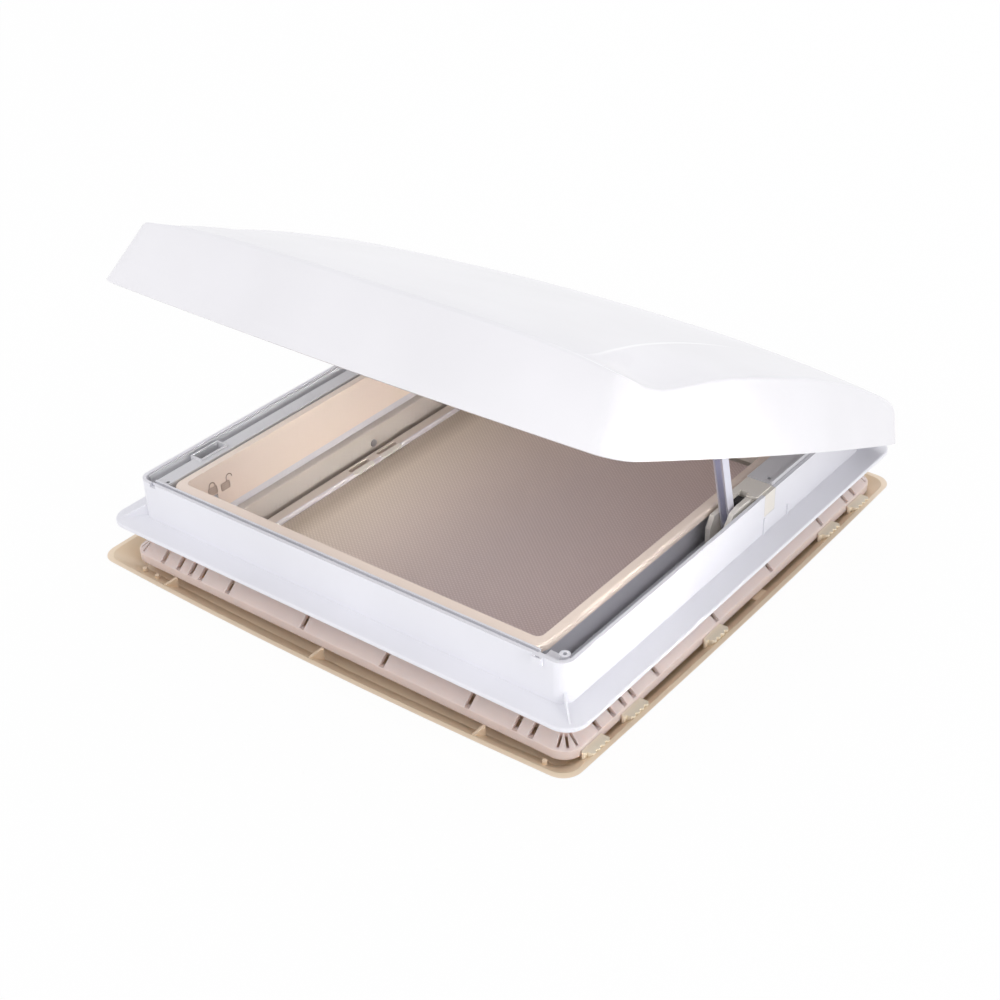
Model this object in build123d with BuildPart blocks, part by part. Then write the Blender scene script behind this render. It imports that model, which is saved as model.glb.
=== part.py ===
from build123d import *
from math import asin, atan2, cos, degrees, radians, sin, sqrt
import os

# Square pop-up roof vent for a caravan, made for a 400 mm cut-out.
# X runs along the front edge, Y to the hinge side, Z up. Z = 0 is the underside of the
# roof flange. The model is drawn with the lid held open, as the stay holds it.

# Driving dimensions, all in millimetres and degrees
roof_opening = 400.0
lid_open_angle = 24.25
running_gap = 0.05
seat_gap = 0.3
overrun = 5.0

# Outer frame: roof flange, upright collar and the neck that goes down the cut-out
neck_clearance = 1.0
neck_wall = 1.8
neck_depth = 24.0
neck_corner = 10.0
neck_half = roof_opening / 2 - neck_clearance
neck_inner = neck_half - neck_wall
collar_reach = 16.0
collar_half = neck_half + collar_reach
collar_size = 2 * collar_half
collar_height = 38.5
collar_wall = 3.0
collar_corner = 11.0
collar_inner = collar_half - collar_wall
flange_reach = 21.0
flange_half = collar_half + flange_reach
flange_size = 2 * flange_half
flange_thickness = 3.0
flange_corner = 18.0
floor_opening_inset = 15.2
floor_opening_x = 2 * (neck_inner - floor_opening_inset)
gusset_height = 11.0
gusset_thickness = 1.6
gusset_reach = 23.0
edge_round = 1.2
corner_notch_inset = 18.0
corner_notch_width = 7.0
corner_notch_depth = 3.6
wall_boss_inset = 23.0
wall_boss_width = 8.0
wall_boss_height = 6.5
wall_boss_reach = 3.0
wall_boss_hole = 4.0
wall_ribs = ((50.0, 15.0), (87.0, 9.0))
wall_rib_reach = 1.2
channel_rib_place = -7.5
channel_rib_height = 7.0

# Hinge on the rear wall of the collar
hinge_reach = 5.0
hinge_y = collar_half + hinge_reach
hinge_z = 8.0
hinge_pin_radius = 2.45
hinge_pin_overhang = 1.5
barrel_radius = 4.5
ear_width = 5.0
hinge_arm_inset = 16.0
hinge_arm_centre = collar_half - hinge_arm_inset
hinge_arm_width = 15.4
ear_side_gap = 0.3

# Roof seal under the flange
seal_thickness = 3.0
seal_inset = 7.0
seal_neck_gap = 7.0

# Inner duct, drafted, with a rolled rim
duct_side_inset = 18.2
duct_end_inset = 1.2
duct_inner_x = 2 * (neck_inner - duct_side_inset)
duct_inner_y = 2 * (neck_inner - duct_end_inset)
duct_top = 36.0
duct_bottom = -9.0
duct_wall = 2.2
duct_draft = 3.7
duct_corner = 8.0
rim_depth = 6.0
rim_side = 8.0
rim_front = 10.0
rim_round = 2.2

# Gutter rails between collar and duct
rail_gap = 0.4
rail_wall = 1.6
rail_side_gap = 2.0
rail_inner = duct_inner_x / 2 + rim_side + rail_side_gap
rail_top = 37.5
strip_top = 36.0
strip_width = 13.0
trough_floor = 30.0
rail_end_clearance = 6.5
rear_rail_top = 40.0
rear_rail_lip = 2.0
socket_length = 31.0
socket_width = 13.0
socket_wall = 1.5
socket_centre_y = -148.5
striker_inset = 11.0
striker_x = rail_inner + striker_inset
block_gap = 1.6
block_length = 15.6
block_boss_radius = 4.0
block_boss_inset_x = 10.1
block_boss_inset_y = 13.3
screw_hole_radius = 1.7
screw_hole_inset = 3.2

# Lid stay with its bracket on the right wall
stay_y = 23.0
stay_z = 20.0
bracket_inner = rail_inner + 2 * seat_gap
bracket_width = 19.4
bracket_outer = bracket_inner + bracket_width
stay_inset = 9.4
stay_x = bracket_inner + stay_inset
stay_width = 8.6
stay_depth = 8.4
stay_wall = 1.4
stay_lean = 13.4
stay_pin_radius = 2.45
slot_height = 41.0
slide_play = 3.5
stud_radius = 4.0
stud_width = 4.5
stud_shank_radius = 1.9
stud_gap = 0.8
track_wall = 1.5
track_front = -348.0
track_rear = -233.0
track_gap = 0.5
track_floor_gap = 0.6
track_posts = (-339, -259)
bracket_length = 66.0
bracket_base = 3.0
bracket_height = 36.5
plate_thickness = 3.0
cheek_thickness = 4.2
cheek_front = 4.0
cheek_round = 4.0
inner_cheek_profile = ((0, 24.0), (6.0, 33.5))
outer_cheek_profile = ((0, 27.0), (9.0, 38.5), (18.0, 40.5), (29.0, 40.5))
cheek_dimple_radius = 4.6
cheek_dimple_depth = 1.2
block_start = 38.0
flank_start = 50.5
flank_bottom = 19.0
button_length = 9.0
button_protrusion = 5.0
bracket_nose = 6.0
button_height = 9.0
button_width = 7.0
button_travel = 4.0
button_gap = 0.25

# Screens: housings, rollers, tracks and pull bars
housing_width = 28.2
housing_fit = 1.0
housing_inner = neck_inner - housing_fit - housing_width
housing_depth = 36.7
housing_wall = 2.0
track_width = 10.0
track_fit = 0.7
track_inner = neck_inner - track_fit - track_width
track_overlap = 12.0
track_half_length = housing_inner + track_overlap
housing_half_length = track_inner - seat_gap
housing_screw_places = (15.0, 165.0)
housing_screw_level = -24.0
roller_inset = 14.0
roller_place = housing_inner + roller_inset
roller_rise = 0.3
bar_end_gap = 0.7
cloth_gap = 0.3
net_margin = 3.2
net_half_width = housing_half_length - net_margin
groove_depth = 5.5
groove_height = 4.0
net_level = -31.5
blind_level = -41.5
screen_roller_radius = 7.0
axle_radius = 2.0
axle_length = 2.6
net_thickness = 0.4
bar_width = 11.0
net_bar_height = 9.0
blind_bar_height = 8.0
bar_shoe_height = 3.2
bar_shoe_reach = 4.6
net_bar_rest = 12.5
blind_bar_rest = 7.5
net_bar_place = net_bar_rest - housing_inner
blind_bar_place = blind_bar_rest - housing_inner
finger_slot_length = 26.0
finger_slot_width = 4.6
finger_slot_spacing = 37.0
finger_slot_depth_share = 1.33

# Clamp ring under the roof
clamp_gap = 17.0
ring_clearance = 0.8
ring_reach = 26.0
ring_half = neck_half + ring_reach
ring_inner = neck_half + ring_clearance
ring_outer = 2 * ring_half
ring_wall = 2.2
ring_shelf = 2.5
ring_depth = 17.0
ring_band = 7.5
ring_slope_reach = 11.5
ring_corner = 16.0
slot_pitch = 82.0
ring_side_slots = 5
ring_front_slots = (-188, -170, -156, -144, -113, -31, 51, 133, 176, 190)
ring_fan_angles = (15, 45, 75)
fan_reach = 9.5
fan_slot_length = 9.0
slot_width = 4.4
slot_length = 8.0
slope_slot_length = 11.0
tab_thickness = 2.5
tab_depth = 11.0
post_radius = 4.5
post_inset = 6.0
post_place = neck_inner - post_inset
post_length = 30.2
post_bore_depth = 20.0
screw_shank_radius = 1.5
screw_head_radius = 3.4
screw_head_height = 2.4
screw_slot_width = 0.9
head_round = 0.8

# Ceiling trim and its clips
trim_side_reach = 16.0
trim_end_reach = 15.0
trim_half_x = ring_half + trim_side_reach
trim_half_y = ring_half + trim_end_reach
trim_shift = -3.0
trim_sideways = -4.0
trim_side_bow = 2.5
trim_end_bow = 5.0
trim_rim_level = -34.0
trim_bottom = -52.0
trim_slope_reach = 24.0
trim_floor = 3.0
trim_wall = 2.2
trim_corner = 16.0
trim_foot_corner = 9.0
trim_opening_margin_x = 2.0
trim_opening_margin_y = 2.2
trim_opening_x = 2 * (housing_inner - trim_opening_margin_x)
trim_opening_y = 2 * (housing_half_length - trim_opening_margin_y)
peg_radius = 1.9
peg_top = -38.5
trim_rib_gap = 1.0
trim_rib_top = -36.0
trim_pegs = ((-206, -229.5), (-190, -230.5), (206, -229), (-206, 229), (206, 229))
trim_ribs = (-171, -8, 150)
trim_pad = (226.0, 30.0)
trim_pad_radius = 8.0
trim_pad_top = -39.5
clip_length = 22.0
clip_places = (-199, -150, -40, 137, 188)
clip_base = 7.5
clip_tooth = 3.2
clip_teeth = 4
clip_top = -32.5

# Lid
lid_side_reach = 31.0
lid_front_reach = 37.03
lid_rear_edge = 5.97
lid_half_width = collar_half + lid_side_reach
lid_length = hinge_y + lid_rear_edge + collar_half + lid_front_reach
lid_wall = 2.5
lid_side_bow = 8.0
lid_front_bow = 11.0
lid_rim_corner = 22.0
lid_crest_corner = 8.0
lid_top_level = 66.0
lid_side_draft = 23.5
lid_front_draft = 26.0
lid_rear_draft = 3.0
lid_rim_level = 5.86
lid_edge_drop = 8.0
lid_reach = 275.0
# Sections across the crown: distance from the rear edge, height at the centre and at the side
crown_sections = (
    (-60, 44, 31),
    (50, 52.5, 38.5),
    (150, 59.8, 49.5),
    (255, 62.5, 53.2),
    (360, 62.2, 52.5),
    (450, 59.4, 48.8),
    (520, 56.0, 45.5),
)
crown_shoulder_share = 0.62
crown_shoulder_drop_share = 0.26
# Profile that rounds the crown down to the rear wall: distance from the rear edge and height
rear_profile = ((-12, 19), (0, 33), (12, 41.5), (40, 50), (80, 57), (130, 66))
# Scoop beside the crown: distance from the rear edge and height of its floor
scoop_floor = (
    (180, 60), (225, 56.5), (255, 55), (309, 51.8), (351, 48.8), (380, 46.3),
    (409, 44.8), (430, 47), (448, 51), (470, 56), (490, 60),
)
# Crease between crown and scoop: distance from the rear edge and half-width
scoop_crease = (
    (170, 180), (195, 169), (225, 164), (261, 164), (309, 169), (351, 175), (395, 184),
    (425, 189), (448, 190), (500, 196),
)
scoop_low_level = 40.0
scoop_high_level = 76.0
scoop_low_shift = 27.0
scoop_high_shift = -27.0
rib_half_x = (duct_inner_x + rim_side) / 2
rib_half_y = (duct_inner_y + rim_front) / 2
rib_wall = 2.0
rib_corner = 12.0
seal_profile_width = 5.0
seal_profile_height = 6.0
liner_level = 30.0
liner_thickness = 2.0
liner_clearance = 0.3
striker_thickness = 6.0
striker_lead = 1.5
striker_length = 14.0
striker_tip = 19.5
striker_groove_depth = 3.2
striker_groove_height = 6.0
striker_centre_y = -151.0
striker_top = 34.0
arm_front = -3.9
arm_neck = 5.9

# Lid lock slide in the left gutter
lock_travel = 14.0
lock_body_thickness = 3.6
lock_body_height = 8.0
lock_tongue_length = 12.0
lock_tongue_height = 3.0
lock_tongue_level = 24.5
lock_tongue_clearance = 1.0
lock_tab_length = 7.0
lock_tab_height = 5.0
lock_tab_level = 8.0
lock_tab_reach = 4.0
lock_tab_round = 1.2
lock_tab_place = -170.0
lock_tongue_place = -137.0
lock_tongue_reach = 11.0
lock_side_gap = 0.3
lock_end_margin = 6.0
lock_window_margin = 1.2

# Worked out from the sizes above
ring_top = -seal_thickness - clamp_gap
housing_top = duct_bottom - seat_gap
housing_bottom = housing_top - housing_depth


def front_plane(y):
    """Upright plane that looks back along +Y; its own y axis is the object's Z."""
    return Plane(origin=(0, y, 0), x_dir=(-1, 0, 0), z_dir=(0, 1, 0))


def side_plane(x):
    """Upright plane across the object; its own x axis is Y and its own y axis is Z."""
    return Plane(origin=(x, 0, 0), x_dir=(0, 1, 0), z_dir=(1, 0, 0))


def save(piece, name):
    """Label a finished piece and write its STEP file."""
    piece.part.label = name
    export_step(piece.part, f"parts/{name}.step")


os.makedirs("parts", exist_ok=True)

# Outer frame: one white moulding with flange, collar, neck, corner gussets and hinge ears
with BuildPart() as outer_frame:
    with BuildSketch(Plane.XY):
        RectangleRounded(flange_size, flange_size, flange_corner)
    extrude(amount=flange_thickness)
    fillet(outer_frame.edges().group_by(Axis.Z)[-1], edge_round)
    with BuildSketch(Plane.XY):
        RectangleRounded(collar_size, collar_size, collar_corner)
    extrude(amount=collar_height)
    with BuildSketch(Plane.XY):
        RectangleRounded(2 * neck_half, 2 * neck_half, neck_corner)
    extrude(amount=-neck_depth)
    with BuildSketch(Plane.XY.offset(flange_thickness)):
        RectangleRounded(2 * collar_inner, 2 * collar_inner, collar_corner - collar_wall)
    extrude(amount=collar_height, mode=Mode.SUBTRACT)
    with BuildSketch(Plane.XY):
        RectangleRounded(2 * neck_inner, 2 * neck_inner, neck_corner - neck_wall)
    extrude(amount=-neck_depth, mode=Mode.SUBTRACT)
    with BuildSketch(Plane.XY):
        RectangleRounded(floor_opening_x, 2 * neck_inner, neck_corner - neck_wall)
    extrude(amount=flange_thickness, mode=Mode.SUBTRACT)
    # A thin gusset stands on each corner of the flange, along the diagonal
    gusset_foot = (collar_half - collar_corner) * sqrt(2) + collar_corner - collar_wall / 2
    for turn in (45, 135, 225, 315):
        diagonal = Plane(
            origin=(0, 0, 0),
            x_dir=(cos(radians(turn)), sin(radians(turn)), 0),
            z_dir=(sin(radians(turn)), -cos(radians(turn)), 0),
        )
        with BuildSketch(diagonal):
            with BuildLine():
                Polyline(
                    (gusset_foot, flange_thickness / 2),
                    (gusset_foot + gusset_reach, flange_thickness / 2),
                    (gusset_foot + gusset_reach, flange_thickness),
                    (gusset_foot, flange_thickness + gusset_height),
                    close=True,
                )
            make_face()
        extrude(amount=gusset_thickness / 2, both=True)
    # Hinge ears on the rear wall, two for each hinge arm
    for side in (-1, 1):
        for step in (-1, 1):
            ear_centre = side * hinge_arm_centre + step * (
                hinge_arm_width / 2 + ear_side_gap + ear_width / 2
            )
            with BuildSketch(side_plane(ear_centre)):
                with Locations((hinge_y, hinge_z)):
                    Circle(barrel_radius)
                with Locations((collar_half - collar_wall / 2, flange_thickness / 2)):
                    Rectangle(
                        hinge_y + barrel_radius - collar_half + collar_wall / 2,
                        hinge_z - flange_thickness / 2,
                        align=(Align.MIN, Align.MIN),
                    )
                with Locations((collar_half - collar_wall / 2, hinge_z)):
                    Rectangle(
                        hinge_y - collar_half + collar_wall / 2,
                        barrel_radius,
                        align=(Align.MIN, Align.MIN),
                    )
            extrude(amount=ear_width / 2, both=True)
            with BuildSketch(side_plane(ear_centre)):
                with Locations((hinge_y, hinge_z)):
                    Circle(hinge_pin_radius + running_gap)
            extrude(amount=ear_width, both=True, mode=Mode.SUBTRACT)
    # Notch in the right wall that the stay bracket hooks into
    with BuildSketch(side_plane(collar_half + overrun)):
        with Locations((flank_start - seat_gap, flank_bottom - seat_gap)):
            Rectangle(
                bracket_length - flank_start + 2 * seat_gap,
                collar_height,
                align=(Align.MIN, Align.MIN),
            )
    extrude(amount=-collar_wall - 2 * overrun, mode=Mode.SUBTRACT)
    # Notch at the left end of the front wall and a hollow boss at its right end
    with BuildSketch(Plane.XY.offset(collar_height - corner_notch_depth)):
        with Locations((corner_notch_inset - collar_half, -collar_half + collar_wall / 2)):
            Rectangle(corner_notch_width, collar_wall + 2 * seat_gap)
    extrude(amount=collar_height, mode=Mode.SUBTRACT)
    with BuildSketch(Plane.XY.offset(collar_height - wall_boss_height)):
        with Locations((collar_half - wall_boss_inset, -collar_half)):
            Rectangle(wall_boss_width, 2 * wall_boss_reach)
    extrude(amount=wall_boss_height)
    with BuildSketch(Plane.XY.offset(collar_height)):
        with Locations((collar_half - wall_boss_inset, -collar_half - wall_boss_reach / 2)):
            Rectangle(wall_boss_hole, wall_boss_reach / 2)
    extrude(amount=-wall_boss_hole, mode=Mode.SUBTRACT)
    with BuildSketch(Plane.XY.offset(flange_thickness)):
        RectangleRounded(2 * collar_inner, 2 * collar_inner, collar_corner - collar_wall)
    extrude(amount=collar_height, mode=Mode.SUBTRACT)
    # Small ribs outside the right wall, and one across the channel inside it
    for place, height in wall_ribs:
        with BuildSketch(Plane.XY.offset(flange_thickness / 2)):
            with Locations((collar_half, place)):
                Rectangle(2 * wall_rib_reach, gusset_thickness)
        extrude(amount=flange_thickness / 2 + height)
    with BuildSketch(Plane.XY.offset(flange_thickness / 2)):
        with Locations((collar_inner, channel_rib_place)):
            Rectangle(
                collar_inner - bracket_inner, gusset_thickness, align=(Align.MAX, Align.CENTER)
            )
    extrude(amount=flange_thickness / 2 + channel_rib_height)
    # Corner posts for the clamp screws
    with BuildSketch(Plane.XY.offset(flange_thickness / 2)):
        with GridLocations(2 * post_place, 2 * post_place, 2, 2):
            Circle(post_radius)
    extrude(amount=-post_length - flange_thickness / 2)
    with BuildSketch(Plane.XY.offset(-post_length)):
        with GridLocations(2 * post_place, 2 * post_place, 2, 2):
            Circle(screw_shank_radius + 2 * running_gap)
    extrude(amount=post_bore_depth, mode=Mode.SUBTRACT)
save(outer_frame, "outer_frame")

# Flat seal strip that beds the flange on the roof
seal_outer = flange_size - 2 * seal_inset
with BuildPart() as roof_seal:
    with BuildSketch(Plane.XY):
        RectangleRounded(seal_outer, seal_outer, flange_corner - seal_inset)
        RectangleRounded(
            2 * (neck_half + seal_neck_gap),
            2 * (neck_half + seal_neck_gap),
            neck_corner,
            mode=Mode.SUBTRACT,
        )
    extrude(amount=-seal_thickness)
save(roof_seal, "roof_seal")

# Inner duct: drafted walls under a rolled rim, with a window for the lock tab
duct_taper = duct_draft / (duct_top - duct_bottom)
with BuildPart() as inner_duct:
    with BuildSketch(Plane.XY.offset(duct_bottom)):
        RectangleRounded(
            duct_inner_x + 2 * duct_wall - 2 * duct_draft,
            duct_inner_y + 2 * duct_wall - 2 * duct_draft,
            duct_corner,
        )
    with BuildSketch(Plane.XY.offset(duct_top)):
        RectangleRounded(
            duct_inner_x + 2 * duct_wall, duct_inner_y + 2 * duct_wall, duct_corner
        )
    loft()
    with BuildSketch(Plane.XY.offset(duct_top - rim_depth)):
        RectangleRounded(
            duct_inner_x + 2 * rim_side, duct_inner_y + 2 * rim_front, duct_corner + rim_side / 2
        )
    extrude(amount=rim_depth)
    fillet(inner_duct.edges().group_by(Axis.Z)[-1], rim_round)
    with BuildSketch(Plane.XY.offset(duct_bottom - overrun)):
        RectangleRounded(
            duct_inner_x - 2 * duct_draft - 2 * overrun * duct_taper,
            duct_inner_y - 2 * duct_draft - 2 * overrun * duct_taper,
            duct_corner - duct_wall,
        )
    with BuildSketch(Plane.XY.offset(duct_top + overrun)):
        RectangleRounded(
            duct_inner_x + 2 * overrun * duct_taper,
            duct_inner_y + 2 * overrun * duct_taper,
            duct_corner - duct_wall,
        )
    loft(mode=Mode.SUBTRACT)
    with BuildSketch(side_plane(-duct_inner_x / 2 - rim_side)):
        with Locations((lock_tab_place - lock_travel / 2, lock_tab_level)):
            Rectangle(
                lock_travel + lock_tab_length + 2 * lock_window_margin,
                lock_tab_height + 2 * lock_window_margin,
            )
    extrude(amount=2 * rim_side, mode=Mode.SUBTRACT)
save(inner_duct, "inner_duct")

# Gutter rails: moulded channels that line the collar outside the duct
rail_foot = flange_thickness + seat_gap
rail_outer = collar_inner - rail_gap
rail_end = collar_inner - rail_end_clearance


def end_plane(side, y):
    """Upright plane across the length of a side rail; its x axis points out of the opening."""
    return Plane(origin=(0, y, 0), x_dir=(side, 0, 0), z_dir=(0, -side, 0))


socket_centre_x = -striker_x
with BuildPart() as left_rail:
    with BuildSketch(end_plane(-1, 0)):
        with BuildLine():
            strip_edge = rail_inner + strip_width
            Polyline(
                (rail_inner, rail_foot),
                (rail_inner, strip_top),
                (strip_edge, strip_top),
                (strip_edge, trough_floor),
                (rail_outer - rail_wall, trough_floor),
                (rail_outer - rail_wall, rail_top),
                (rail_outer, rail_top),
                (rail_outer, rail_foot),
                (rail_outer - rail_wall, rail_foot),
                (rail_outer - rail_wall, trough_floor - rail_wall),
                (strip_edge - rail_wall, trough_floor - rail_wall),
                (strip_edge - rail_wall, strip_top - rail_wall),
                (rail_inner + rail_wall, strip_top - rail_wall),
                (rail_inner + rail_wall, rail_foot),
                close=True,
            )
        make_face()
    extrude(amount=rail_end, both=True)
    # Socket that takes the lid's striker
    with BuildSketch(Plane.XY.offset(strip_top + socket_wall)):
        with Locations((socket_centre_x, socket_centre_y)):
            Rectangle(socket_width, socket_length)
    extrude(amount=-socket_wall - strip_top + trough_floor - rail_wall)
    with BuildSketch(Plane.XY.offset(strip_top + socket_wall)):
        with Locations((socket_centre_x, socket_centre_y)):
            Rectangle(socket_width - 2 * socket_wall, socket_length - 2 * socket_wall)
    extrude(amount=-collar_height / 2, mode=Mode.SUBTRACT)
    # Window for the lock tongue in the inner leg
    with BuildSketch(side_plane(-rail_inner)):
        with Locations((lock_tongue_place - lock_travel / 2, lock_tongue_level)):
            Rectangle(
                lock_travel + lock_tongue_length + 4 * lock_tongue_clearance,
                lock_tongue_height + 2 * lock_tongue_clearance,
            )
    extrude(amount=-2 * rail_wall, mode=Mode.SUBTRACT)
    with BuildSketch(Plane.XY.offset(strip_top)):
        with Locations((-rail_inner - screw_hole_inset, -rail_end + screw_hole_inset)):
            Circle(screw_hole_radius)
    extrude(amount=-2 * rail_wall, mode=Mode.SUBTRACT)
save(left_rail, "left_rail")

# The right rail starts behind the stay bracket and has a closed front end
right_rail_start = bracket_length + 2 * seat_gap
right_rail_middle = (right_rail_start + rail_end) / 2
right_rail_half = (rail_end - right_rail_start) / 2
with BuildPart() as right_rail:
    with BuildSketch(end_plane(1, right_rail_middle)):
        with BuildLine():
            Polyline(
                (rail_inner, rail_foot),
                (rail_inner, rear_rail_top),
                (rail_outer - rail_wall, rear_rail_top),
                (rail_outer - rail_wall, rear_rail_top + rear_rail_lip),
                (rail_outer, rear_rail_top + rear_rail_lip),
                (rail_outer, rail_foot),
                (rail_outer - rail_wall, rail_foot),
                (rail_outer - rail_wall, rear_rail_top - rail_wall),
                (rail_inner + rail_wall, rear_rail_top - rail_wall),
                (rail_inner + rail_wall, rail_foot),
                close=True,
            )
        make_face()
    extrude(amount=right_rail_half, both=True)
    with BuildSketch(end_plane(1, right_rail_start)):
        with Locations(((rail_inner + rail_outer) / 2, rail_foot)):
            Rectangle(
                rail_outer - rail_inner, rear_rail_top - rail_foot, align=(Align.CENTER, Align.MIN)
            )
    extrude(amount=-rail_wall)
    with BuildSketch(Plane.XY.offset(rear_rail_top)):
        with Locations((rail_outer - 2 * screw_hole_inset, right_rail_start + strip_width / 2)):
            Circle(screw_hole_radius)
    extrude(amount=-2 * rail_wall, mode=Mode.SUBTRACT)
save(right_rail, "right_rail")

# Front and rear gutters, the same strip turned round
gutter_inner = duct_inner_y / 2 + rim_front + 2 * seat_gap
gutter_half_length = collar_half - collar_corner - collar_wall
corner_block_start = duct_inner_x / 2 + rim_side + block_gap


def gutter_strip(end, right_end):
    """Gutter strip along the front (end -1) or rear (end 1) wall of the collar."""
    middle = (right_end - gutter_half_length) / 2
    with BuildPart() as strip:
        with BuildSketch(Plane(origin=(middle, 0, 0), x_dir=(0, end, 0), z_dir=(end, 0, 0))):
            with BuildLine():
                Polyline(
                    (gutter_inner, rail_foot),
                    (gutter_inner, rail_top),
                    (gutter_inner + rail_wall, rail_top),
                    (gutter_inner + rail_wall, trough_floor + rail_wall),
                    (rail_outer - rail_wall / 2, trough_floor + rail_wall),
                    (rail_outer - rail_wall / 2, rail_top),
                    (rail_outer, rail_top),
                    (rail_outer, trough_floor),
                    (gutter_inner + rail_wall, trough_floor),
                    (gutter_inner + rail_wall, rail_foot),
                    close=True,
                )
            make_face()
        extrude(amount=(right_end + gutter_half_length) / 2, both=True)
    return strip


front_gutter = gutter_strip(-1, corner_block_start - seat_gap)
save(front_gutter, "front_gutter")
rear_gutter = gutter_strip(1, gutter_half_length)
save(rear_gutter, "rear_gutter")

# Corner block at the near right corner, with a screw boss and an L-shaped lip
block_boss_x = collar_half - block_boss_inset_x
block_boss_y = -collar_half + block_boss_inset_y
with BuildPart() as corner_block:
    with BuildSketch(Plane.XY.offset(rail_foot)):
        RectangleRounded(2 * rail_outer, 2 * rail_outer, collar_corner - collar_wall)
        with Locations((corner_block_start, -rail_outer + block_length)):
            Rectangle(
                collar_half, collar_half, align=(Align.MIN, Align.MAX), mode=Mode.INTERSECT
            )
    extrude(amount=trough_floor - rail_foot)
    with BuildSketch(Plane.XY.offset(trough_floor)):
        RectangleRounded(2 * rail_outer, 2 * rail_outer, collar_corner - collar_wall)
        RectangleRounded(
            2 * (rail_outer - rail_wall),
            2 * (rail_outer - rail_wall),
            collar_corner - collar_wall - rail_wall,
            mode=Mode.SUBTRACT,
        )
        with Locations((corner_block_start, -rail_outer + block_length / 2)):
            Rectangle(
                collar_half, collar_half, align=(Align.MIN, Align.MAX), mode=Mode.INTERSECT
            )
        with Locations((block_boss_x, block_boss_y)):
            Circle(block_boss_radius)
    extrude(amount=rail_top - trough_floor)
    with BuildSketch(Plane.XY.offset(rail_top)):
        with Locations((block_boss_x, block_boss_y)):
            Circle(screw_hole_radius)
    extrude(amount=-strip_width, mode=Mode.SUBTRACT)
save(corner_block, "corner_block")

# Stay bracket: two cheeks on a base, a rear block with its catch button and a wall hook
block_top = bracket_height + plate_thickness
with BuildPart() as stay_bracket:
    with BuildSketch(side_plane(bracket_inner)):
        with Locations((0, rail_foot)):
            Rectangle(bracket_length, bracket_base, align=(Align.MIN, Align.MIN))
        with Locations((block_start, rail_foot)):
            Rectangle(
                bracket_length - block_start,
                bracket_height - rail_foot,
                align=(Align.MIN, Align.MIN),
            )
    extrude(amount=bracket_outer - bracket_inner)
    # A cheek each side of the stay; the outer one stands higher
    for cheek_foot, cheek_profile in (
        (bracket_inner, inner_cheek_profile),
        (bracket_outer - cheek_thickness, outer_cheek_profile),
    ):
        with BuildSketch(side_plane(cheek_foot)) as cheek:
            with BuildLine():
                cheek_top = cheek_profile[-1][1]
                Polyline(
                    (block_start, rail_foot),
                    (cheek_front, rail_foot),
                    *[(cheek_front + along, height) for along, height in cheek_profile],
                    (block_start, cheek_top),
                    close=True,
                )
            make_face()
            fillet(cheek.vertices().group_by(Axis.Z)[1:], cheek_round)
        extrude(amount=cheek_thickness)
    with BuildSketch(side_plane(bracket_outer)):
        with Locations((stay_y, bracket_height - cheek_dimple_radius - plate_thickness)):
            Circle(cheek_dimple_radius)
    extrude(amount=-cheek_dimple_depth, mode=Mode.SUBTRACT)
    # Top plate with a rounded nose towards the wall
    with BuildSketch(Plane.XY.offset(bracket_height)):
        with BuildLine():
            Polyline(
                (bracket_inner, block_start),
                (rail_outer, block_start + bracket_nose),
                (rail_outer, bracket_length),
                (bracket_inner, bracket_length),
                close=True,
            )
        make_face()
    extrude(amount=plate_thickness)
    fillet(stay_bracket.edges().filter_by(Axis.Z).group_by(Axis.X)[-1], plate_thickness / 2)
    # Pocket for the catch button
    pocket_end = block_start + button_length - button_protrusion + button_travel + button_gap
    with BuildSketch(side_plane(stay_x)):
        with Locations((block_start - overrun, block_top)):
            Rectangle(
                pocket_end - block_start + overrun,
                block_top - bracket_height + button_height + button_gap,
                align=(Align.MIN, Align.MAX),
            )
    extrude(amount=button_width / 2 + button_gap, both=True, mode=Mode.SUBTRACT)
    # Flank that fills the notch of the collar
    with BuildSketch(side_plane(bracket_outer)):
        with Locations((flank_start, flank_bottom)):
            Rectangle(
                bracket_length - flank_start,
                collar_height - flank_bottom,
                align=(Align.MIN, Align.MIN),
            )
    extrude(amount=collar_half - bracket_outer)
    # Boss round the stay pin on the outer cheek, and the pin's bore
    with BuildSketch(side_plane(bracket_outer)):
        with Locations((stay_y, stay_z)):
            Circle(2 * stay_pin_radius)
    extrude(amount=rail_outer - bracket_outer)
    with BuildSketch(side_plane(bracket_inner - overrun)):
        with Locations((stay_y, stay_z)):
            Circle(stay_pin_radius + running_gap)
    extrude(amount=collar_half - bracket_inner + 2 * overrun, mode=Mode.SUBTRACT)
save(stay_bracket, "stay_bracket")

# Pin that the stay turns on
with BuildPart() as stay_pin:
    with BuildSketch(side_plane(bracket_inner + seat_gap)):
        with Locations((stay_y, stay_z)):
            Circle(stay_pin_radius)
    extrude(amount=rail_outer - bracket_inner - 2 * seat_gap)
    chamfer(stay_pin.edges(), seat_gap)
save(stay_pin, "stay_pin")

# Catch button of the bracket
with BuildPart() as release_button:
    with BuildSketch(side_plane(stay_x)):
        with Locations((block_start - button_protrusion, bracket_height)):
            Rectangle(button_length, button_height, align=(Align.MIN, Align.MAX))
    extrude(amount=button_width / 2, both=True)
    fillet(release_button.edges().filter_by(Axis.X).group_by(Axis.Y)[0], plate_thickness / 2)
save(release_button, "release_button")

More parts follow.
